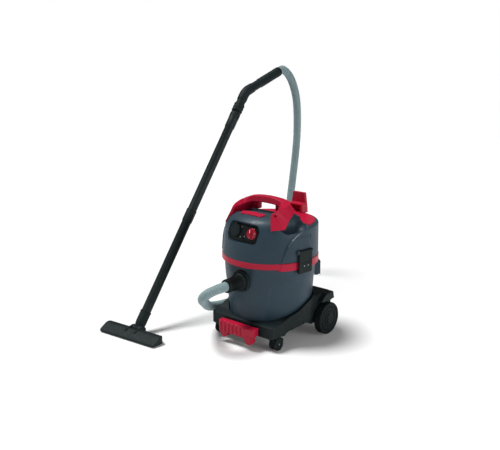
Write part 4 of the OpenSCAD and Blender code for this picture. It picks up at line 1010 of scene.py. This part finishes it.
@dataclass
class Latches:
    """The two side latches with their pins."""
    pin_half: float = 38.6
    face_x: float = 201.7
    screws_y: Point = (-8, 12)
    screws_z: float = 325

    def build(self) -> None:
        """Builds the latches with the screws in their plates, and the pins."""
        for word, body in (("right", "latch_r"), ("left", "latch_l")):
            stand_in(f"latch_{word}", soften(copy_of(f"latch_{word}", f"latch_plate_{word}"),
                                             0.9, 2, 0.5), angle=50)
            head = [(0, -1), (2.6, -1), (2.6, 0.5), (2.1, 0.9), (0, 1)]
            pair = joined([place(screw("plate_screw", head, 1, 1.7),
                                 on_latch(self.face_x, y, self.screws_z) @ turn(y=90))
                           for y in self.screws_y])
            if word == "left":
                outward(place(pair, MIRROR))
            pair.name = f"latch_screws_{word}"
            finish_piece(pair, STEEL, body, "steel")
        pin = rod("latch_pin", 3, 2 * self.pin_half,
                  on_latch(LATCH_X, self.pin_half, LATCH_Z) @ turn(x=90))
        stand_in("latch_pins", joined([pin, mirrored(pin, "latch_pin_left")]))


# ---------------------------------------------------------------- moulded pieces

@dataclass
class Mouldings:
    """Pieces whose CAD forms are right, and get the rounded edges of a moulding.

    Each row holds a node, the voxel's size, the rounds of smoothing and the share of faces kept.
    """
    plan: tuple[tuple[str, float, int, float], ...] = (
        ("brake_pedal", 1.2, 3, 0.5), ("nozzle_body", 1.3, 3, 0.5),
        ("accessory_holder", 1.2, 3, 0.5), ("rear_deck", 1.0, 2, 0.4), ("grip_strip", 0.9, 2, 0.5),
        ("tank_grips", 1.0, 2, 0.5), ("wand_handle", 1.0, 1, 0.4), ("nozzle_neck", 0.9, 1, 0.5),
        ("caster_housing_left", 0.8, 2, 0.5), ("caster_housing_right", 0.8, 2, 0.5))

    def build(self) -> None:
        """Softens each piece and lets it stand for its node."""
        for node, voxel, rounds, keep in self.plan:
            stand_in(node, soften(copy_of(node, f"moulded_{node}"), voxel, rounds, keep), angle=50)


# ---------------------------------------------------------------- handle and trolley

@dataclass
class CarryHandle:
    """The arched carry handle, whose legs sweep forward and down the dome.

    Each ring holds the crease along the top, the front edge, the inner edge, the inner foot and
    the outer foot of one section, from the middle of the bar to the end of a leg.
    """
    rings: tuple[tuple[Point3, ...], ...] = (
        ((-2, 3, 564.5), (-2, -29, 564.5), (-2, -31, 539), (-2, 2, 539), (-2, 4, 552)),
        ((30, 3, 563.5), (30, -29, 563.5), (30, -31, 538.5), (30, 2, 538.5), (30, 4, 551)),
        ((58, 4, 561), (56, -30, 560.5), (54, -32, 537.5), (50, 3, 536), (57, 5, 548)),
        ((88, 4, 555.5), (80, -34, 555.5), (70, -36, 536), (60, 4, 526), (84, 6, 538)),
        ((112, -14, 546), (99, -50, 546.5), (84, -54, 531), (76, 0, 508), (126, -2, 520)),
        ((113, -50, 541), (105, -75, 539.5), (91, -78, 527), (96, -30, 492), (136, -36, 508)),
        ((108, -86, 534), (103, -98, 531.5), (94, -100, 523), (106, -60, 478), (141, -66, 490)),
        ((101, -108, 527.5), (99, -111, 526.5), (93, -110, 519), (112, -84, 462), (147, -91, 467)),
        ((97, -117, 521), (97, -117.5, 520), (90, -110, 516), (98, -120, 460), (115, -139, 466)))
    screw_at: Point3 = (105.2, -102.4, 515.4)
    screw_out: Point3 = (0.861, -0.332, 0.385)

    def half(self) -> Obj:
        """Returns the right half."""
        half = skinned("carry_handle_arch", [p for ring in self.rings for p in ring],
                       len(self.rings[0]))
        rib = bevelled(block("rib", (42, -24, 508), (76, 0, 545)), 3, 3)
        return joined([half, rib])

    def screw_place(self, side: int) -> Matrix:
        """Returns the place of the screw in the left (-1) or right (1) leg."""
        out = Vector((side * self.screw_out[0], *self.screw_out[1:]))
        x, y, z = self.screw_at
        return shift(side * x, y, z) @ out.to_track_quat("Z", "Y").to_matrix().to_4x4()

    def build(self) -> None:
        """Builds the handle with its screws."""
        half = self.half()
        arch = joined([half, mirrored(half, "other_half")])
        soften(arch, 1.3, 7, 0.4)
        heads = []
        for side in (-1, 1):
            seat = lathe("screw_seat", [(0, -1.6), (4.6, -1.6), (5.2, 8), (0, 8)], 32)
            carve(arch, place(seat, self.screw_place(side)))
            head = screw("handle_screw", [(0, -13), (2.4, -13), (2.4, -1.9), (4, -1.9), (4, -0.5),
                                          (3.3, 0), (0, 0.1)], 0.1, 2.4)
            heads.append(place(head, self.screw_place(side)))
        stand_in("carry_handle", arch, angle=50)
        stand_in("handle_screws", joined(heads))


@dataclass
class Trolley:
    """The wheeled base, with the walls that rise beside the tank."""
    wall: tuple[Point, ...] = (
        (-150, 66), (-150, 100), (-122, 106), (-84, 120), (-46, 134), (-20, 144), (8, 157),
        (40, 166), (78, 172), (84, 171), (84, 140), (66, 96), (62, 80))
    wall_x: Point = (118, 177)

    def build(self) -> None:
        """Builds the trolley: the base with its side walls, cut to seat the tank."""
        base = copy_of("trolley", "trolley_base")
        tank = Tank()
        seat = [(0.0, 62.0), *[(tank.radius(z) + 1.2, float(z)) for z in range(64, 103, 3)],
                (tank.radius(106) + 1.2, 106.0), (tank.radius(222) + 1.2, 222.0), (0.0, 222.0)]
        right = prism("side_wall", list(self.wall), *self.wall_x, "X")
        edge = lathe("edge", [(0, 40), (179, 40), (181, 240), (0, 240)], 160)
        carve(right, edge, "INTERSECT")
        walls = joined([right, mirrored(right, "side_wall_left")])
        carve(walls, lathe("seat", seat, 200))
        soften(joined([base, walls]), 2.2, 4, 0.5)
        stand_in("trolley", base, angle=50)


# ---------------------------------------------------------------- wheels

@dataclass
class RunningGear:
    """Rear wheels, casters and their axles."""
    radius: float = 65
    width: float = 33
    notches: int = 30
    inner_x: float = 168
    axle_y: float = 134
    caster_r: float = 25
    caster_w: float = 13
    caster_gap: float = 4.5      # from the caster's middle to the side of each wheel
    caster_at: Point = (140, -147)
    trail: float = 14

    def rear_wheel(self) -> Obj:
        """Returns the right rear wheel with its grooved tread."""
        r, w = self.radius, self.width
        tread = [p for z in (8.5, 15, 21.5) for p in
                 ((r, z), (r - 1.1, z + 0.5), (r - 1.1, z + 2.0), (r, z + 2.5))]
        outline = [(6.6, 0.5), (17, 0.5), (19, 6), (r - 17, 7), (r - 15, 2), (r - 4, 1),
                   (r - 1.2, 2.2), (r, 5), *tread, (r, w - 5), (r - 1.2, w - 2.2), (r - 4, w - 1),
                   (r - 12, w - 1), (r - 13.5, w - 4), (r - 16.5, w - 4), (r - 18, w - 1.5),
                   (r - 29, w - 0.5), (r - 31, w - 3.5), (r - 34, w - 3.5), (r - 36, w - 1),
                   (20, w), (19, w - 3), (6.6, w - 3)]
        wheel = lathe("wheel_right", outline, 128)
        bevelled(wheel, 0.7, 2, 30)
        for k in range(self.notches):
            notch = block("notch", (r - 1.0, -1.1, 3.5), (r + 3, 1.1, w - 3.5))
            carve(wheel, place(notch, turn(z=360 / self.notches * k)))
        return place(wheel, shift(self.inner_x, self.axle_y, r) @ turn(x=90, z=90))

    def cap(self) -> Obj:
        """Returns the right wheel's hub cap."""
        cap = lathe("hub_cap_right", [(0, 2.5), (7, 2.5), (7, 0.1), (18.3, 0.1), (18.4, 4.2),
                                      (16.8, 5.9), (13.6, 6), (12.8, 5.2), (11.6, 5.2), (10.8, 6),
                                      (8.4, 6), (7.4, 5), (0, 5)], 96)
        carve(cap, bevelled(block("boss", (-4.4, -4.4, 4.6), (4.4, 4.4, 6)), 1.0, 3), "UNION")
        return place(cap, shift(self.inner_x + self.width - 3, self.axle_y, self.radius)
                     @ turn(x=90, z=90))

    def caster_wheel(self, side: int) -> Obj:
        """Returns one twin wheel of the right caster, on its inner (-1) or outer (1) side."""
        r, w = self.caster_r, self.caster_w
        wheel = lathe("roller", [(3.6, 0), (r - 2, 0), (r - 0.6, 0.6), (r, 2), (r, 5.6),
                                 (r - 0.6, 6), (r - 0.6, 7), (r, 7.4), (r, w - 3), (r - 1, w - 1.2),
                                 (r - 3, w - 0.5), (r - 7, w - 0.5), (r - 8, w - 2), (10, w - 1),
                                 (8, w), (3.6, w)], 96)
        bevelled(wheel, 0.4, 2, 30)
        x, y = self.caster_at
        return place(wheel, shift(x + side * self.caster_gap, y + self.trail, r)
                     @ turn(x=90, z=90 * side))

    @staticmethod
    def both_sides(node: str, obj: Obj) -> None:
        """Lets a right-hand piece, and its twin, stand for a right-hand node and its twin."""
        twin = mirrored(obj, obj.name.replace("right", "left"))
        stand_in(node.replace("right", "left"), twin)
        stand_in(node, obj)

    def build(self) -> None:
        """Builds the wheels and axles on both sides."""
        wheel, cap = self.rear_wheel(), self.cap()
        self.both_sides("rear_wheel_right", wheel)
        self.both_sides("wheel_cap_right", cap)
        for side, word in ((-1, "inner"), (1, "outer")):
            wheel = self.caster_wheel(side)
            wheel.name = f"caster_roller_right_{word}"
            self.both_sides(f"caster_wheel_right_{word}", wheel)
        x, y = self.caster_at
        at = shift(x - 16.5, y + self.trail, self.caster_r)
        self.both_sides("caster_axle_right", rod("caster_pin_right", 3, 33, at @ turn(y=90)))
        axle = rod("stub_axle", 6, 106, shift(94, self.axle_y, self.radius) @ turn(y=90), 0.8)
        stand_in("rear_axle", joined([axle, mirrored(axle, "stub_axle_left")]))
        stand_in("pedal_pin", rod("pedal_rod", 3.5, 125, shift(-62.5, -191, 78) @ turn(y=90)))


# ---------------------------------------------------------------- wand and floor nozzle

@dataclass
class Wand:
    """The two tubes, the air slider, the cuff and the floor nozzle's brushes and rollers."""
    nozzle_at: Point = (-375.5, -377)
    turned: float = 4.3
    tilt_z: float = 23
    lean: float = 39
    radius: float = 19.5
    wall: float = 2.0
    sleeve: float = 2.2
    joint_1: float = 548
    joint_2: float = 1017
    bend_at: Point3 = (0, 70, 113)       # centre of the grip's bend, from the second joint
    bend: float = 34.4
    bend_run: float = 232
    bars: tuple[Point, ...] = ((-60, 3.7), (-21, 2.7))       # place and half width of each brush
    brush_half: float = 137
    tufts: int = 56

    def floor_frame(self) -> Matrix:
        """Returns the floor nozzle's frame."""
        return shift(*self.nozzle_at, 0) @ turn(z=self.turned)

    def frame(self) -> Matrix:
        """Returns the wand's frame, with Z along the tubes."""
        return self.floor_frame() @ shift(0, 0, self.tilt_z) @ turn(x=-self.lean)

    def tube(self, name: str, low: float, high: float) -> Obj:
        """Returns a tube with a socket at its upper end.

        Args:
            name: Name of the piece.
            low: Where the tube starts along the wand.
            high: Where its socket ends.

        Returns:
            The tube in its place.
        """
        r, inner, wall = self.radius, self.radius + 0.05, self.wall
        out = inner + self.sleeve
        outline = [(r - wall, low), (r - 0.8, low), (r, low + 0.8), (r, high - 58),
                   (out - 0.4, high - 53.4), (out, high - 52), (out, high - 8),
                   (out - 0.5, high - 7.4), (out - 0.5, high - 6.4), (out + 0.6, high - 5.4),
                   (out + 0.6, high - 0.7), (out, high), (inner, high), (inner, high - 47),
                   (r - wall, high - 47)]
        return place(lathe(name, outline, 80), self.frame())

    def slider(self) -> None:
        """Models the air slider with its rings and thumb rest."""
        r, z = self.radius, self.joint_2 + 28
        rings = [p for low in (4, 18, 32) for p in
                 ((r + 3.2, z + low), (r + 4.4, z + low + 0.4), (r + 4.6, z + low + 1.2),
                  (r + 4.6, z + low + 2.8), (r + 4.4, z + low + 3.6), (r + 3.2, z + low + 4))]
        sleeve = lathe("slider_sleeve", [(r + 0.1, z), (r + 2.6, z), (r + 3.2, z + 0.6), *rings,
                                         (r + 3.2, z + 39.4), (r + 2.6, z + 40),
                                         (r + 0.1, z + 40)], 80)
        rest = block("rest", (-7, -r - 7.5, z), (7, -r - 1.5, z + 16))
        carve(sleeve, bevelled(rest, 1.6, 3), "UNION")
        stand_in("air_slider", place(sleeve, self.frame()))

    def cuff(self) -> None:
        """Models the cuff at the hose's end."""
        r = self.radius
        cuff = lathe("cuff_ring", [(15.5, -20), (17, -20), (17, 0.1), (r + 1.4, 0.1), (r + 2.2, 0.9),
                                   (r + 2.2, 6), (r + 1.6, 6.6), (r + 1.6, 9.4), (r + 2.2, 10),
                                   (r + 2.2, 14.6), (r + 1, 16), (15.5, 16)], 80)
        x, y, z = self.bend_at
        bend = shift(x, y, self.joint_2 + z) @ turn(x=-self.bend) @ shift(x, -y, self.bend_run)
        stand_in("hose_cuff", place(cuff, self.frame() @ bend))

    @staticmethod
    def tuft(x: float, y: float, lean: float) -> Obj:
        """Returns one tuft of a brush, whose tip leans along X."""
        points = [(x + c * 1.5 + over, y + d * 1.2, z) for z, over in ((6.0, 0), (0.3, lean))
                  for c, d in ((-1, -1), (1, -1), (1, 1), (-1, 1))]
        return from_points("tuft", points, [[3, 2, 1, 0], [4, 5, 6, 7], [0, 1, 5, 4],
                                            [1, 2, 6, 5], [2, 3, 7, 6], [3, 0, 4, 7]])

    def brushes(self) -> None:
        """Models the brush strips as tufts set in two bars."""
        parts = []
        for y, half in self.bars:
            bar = block("brush_strips", (-139, y - half, 5.5), (139, y + half, 9))
            parts.append(bevelled(bar, 0.4))
            for k in range(self.tufts):
                x = self.brush_half * (2 * k / (self.tufts - 1) - 1)
                for row in (-0.5, 0.5):
                    lean = 0.5 * math.sin(7.1 * k + 3 * row)
                    parts.append(self.tuft(x, y + row * half, lean))
        stand_in("nozzle_brushes", outward(place(joined(parts), self.floor_frame())))

    def rollers(self) -> None:
        """Models the floor nozzle's two rollers."""
        for side, word in ((-1, "left"), (1, "right")):
            roller = lathe(f"roller_{word}", [
                (2.6, -6.5), (7.6, -6.5), (8.6, -6.0), (9, -5.2), (9, -0.8), (8.5, -0.4),
                (8.5, 0.4), (9, 0.8), (9, 5.2), (8.6, 6.0), (7.6, 6.5), (2.6, 6.5)], 48)
            stand_in(f"nozzle_roller_{word}",
                     place(roller, self.floor_frame() @ shift(side * 85.5, 1, 9) @ turn(y=90)))

    def build(self) -> None:
        """Builds the wand."""
        stand_in("lower_tube", self.tube("tube_lower", 41, self.joint_1))
        stand_in("upper_tube", self.tube("tube_upper", self.joint_1 - 46, self.joint_2))
        self.slider()
        self.cuff()
        self.brushes()
        self.rollers()


# ---------------------------------------------------------------- the rest

def dress_nodes() -> None:
    """Gives every CAD node its finish, for those that no piece stands for."""
    for name, node in NODES.items():
        node.data.materials.clear()
        node.data.materials.append(finish_of(name).material())


def main() -> None:
    """Builds the vacuum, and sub-assembly by sub-assembly."""
    dress_nodes()
    for assembly in (Studio, SuctionHose, Tank, MotorHead, Latches, CarryHandle, Mouldings,
                     Trolley, RunningGear, Wand):
        assembly().build()


if __name__ == "__main__":
    main()
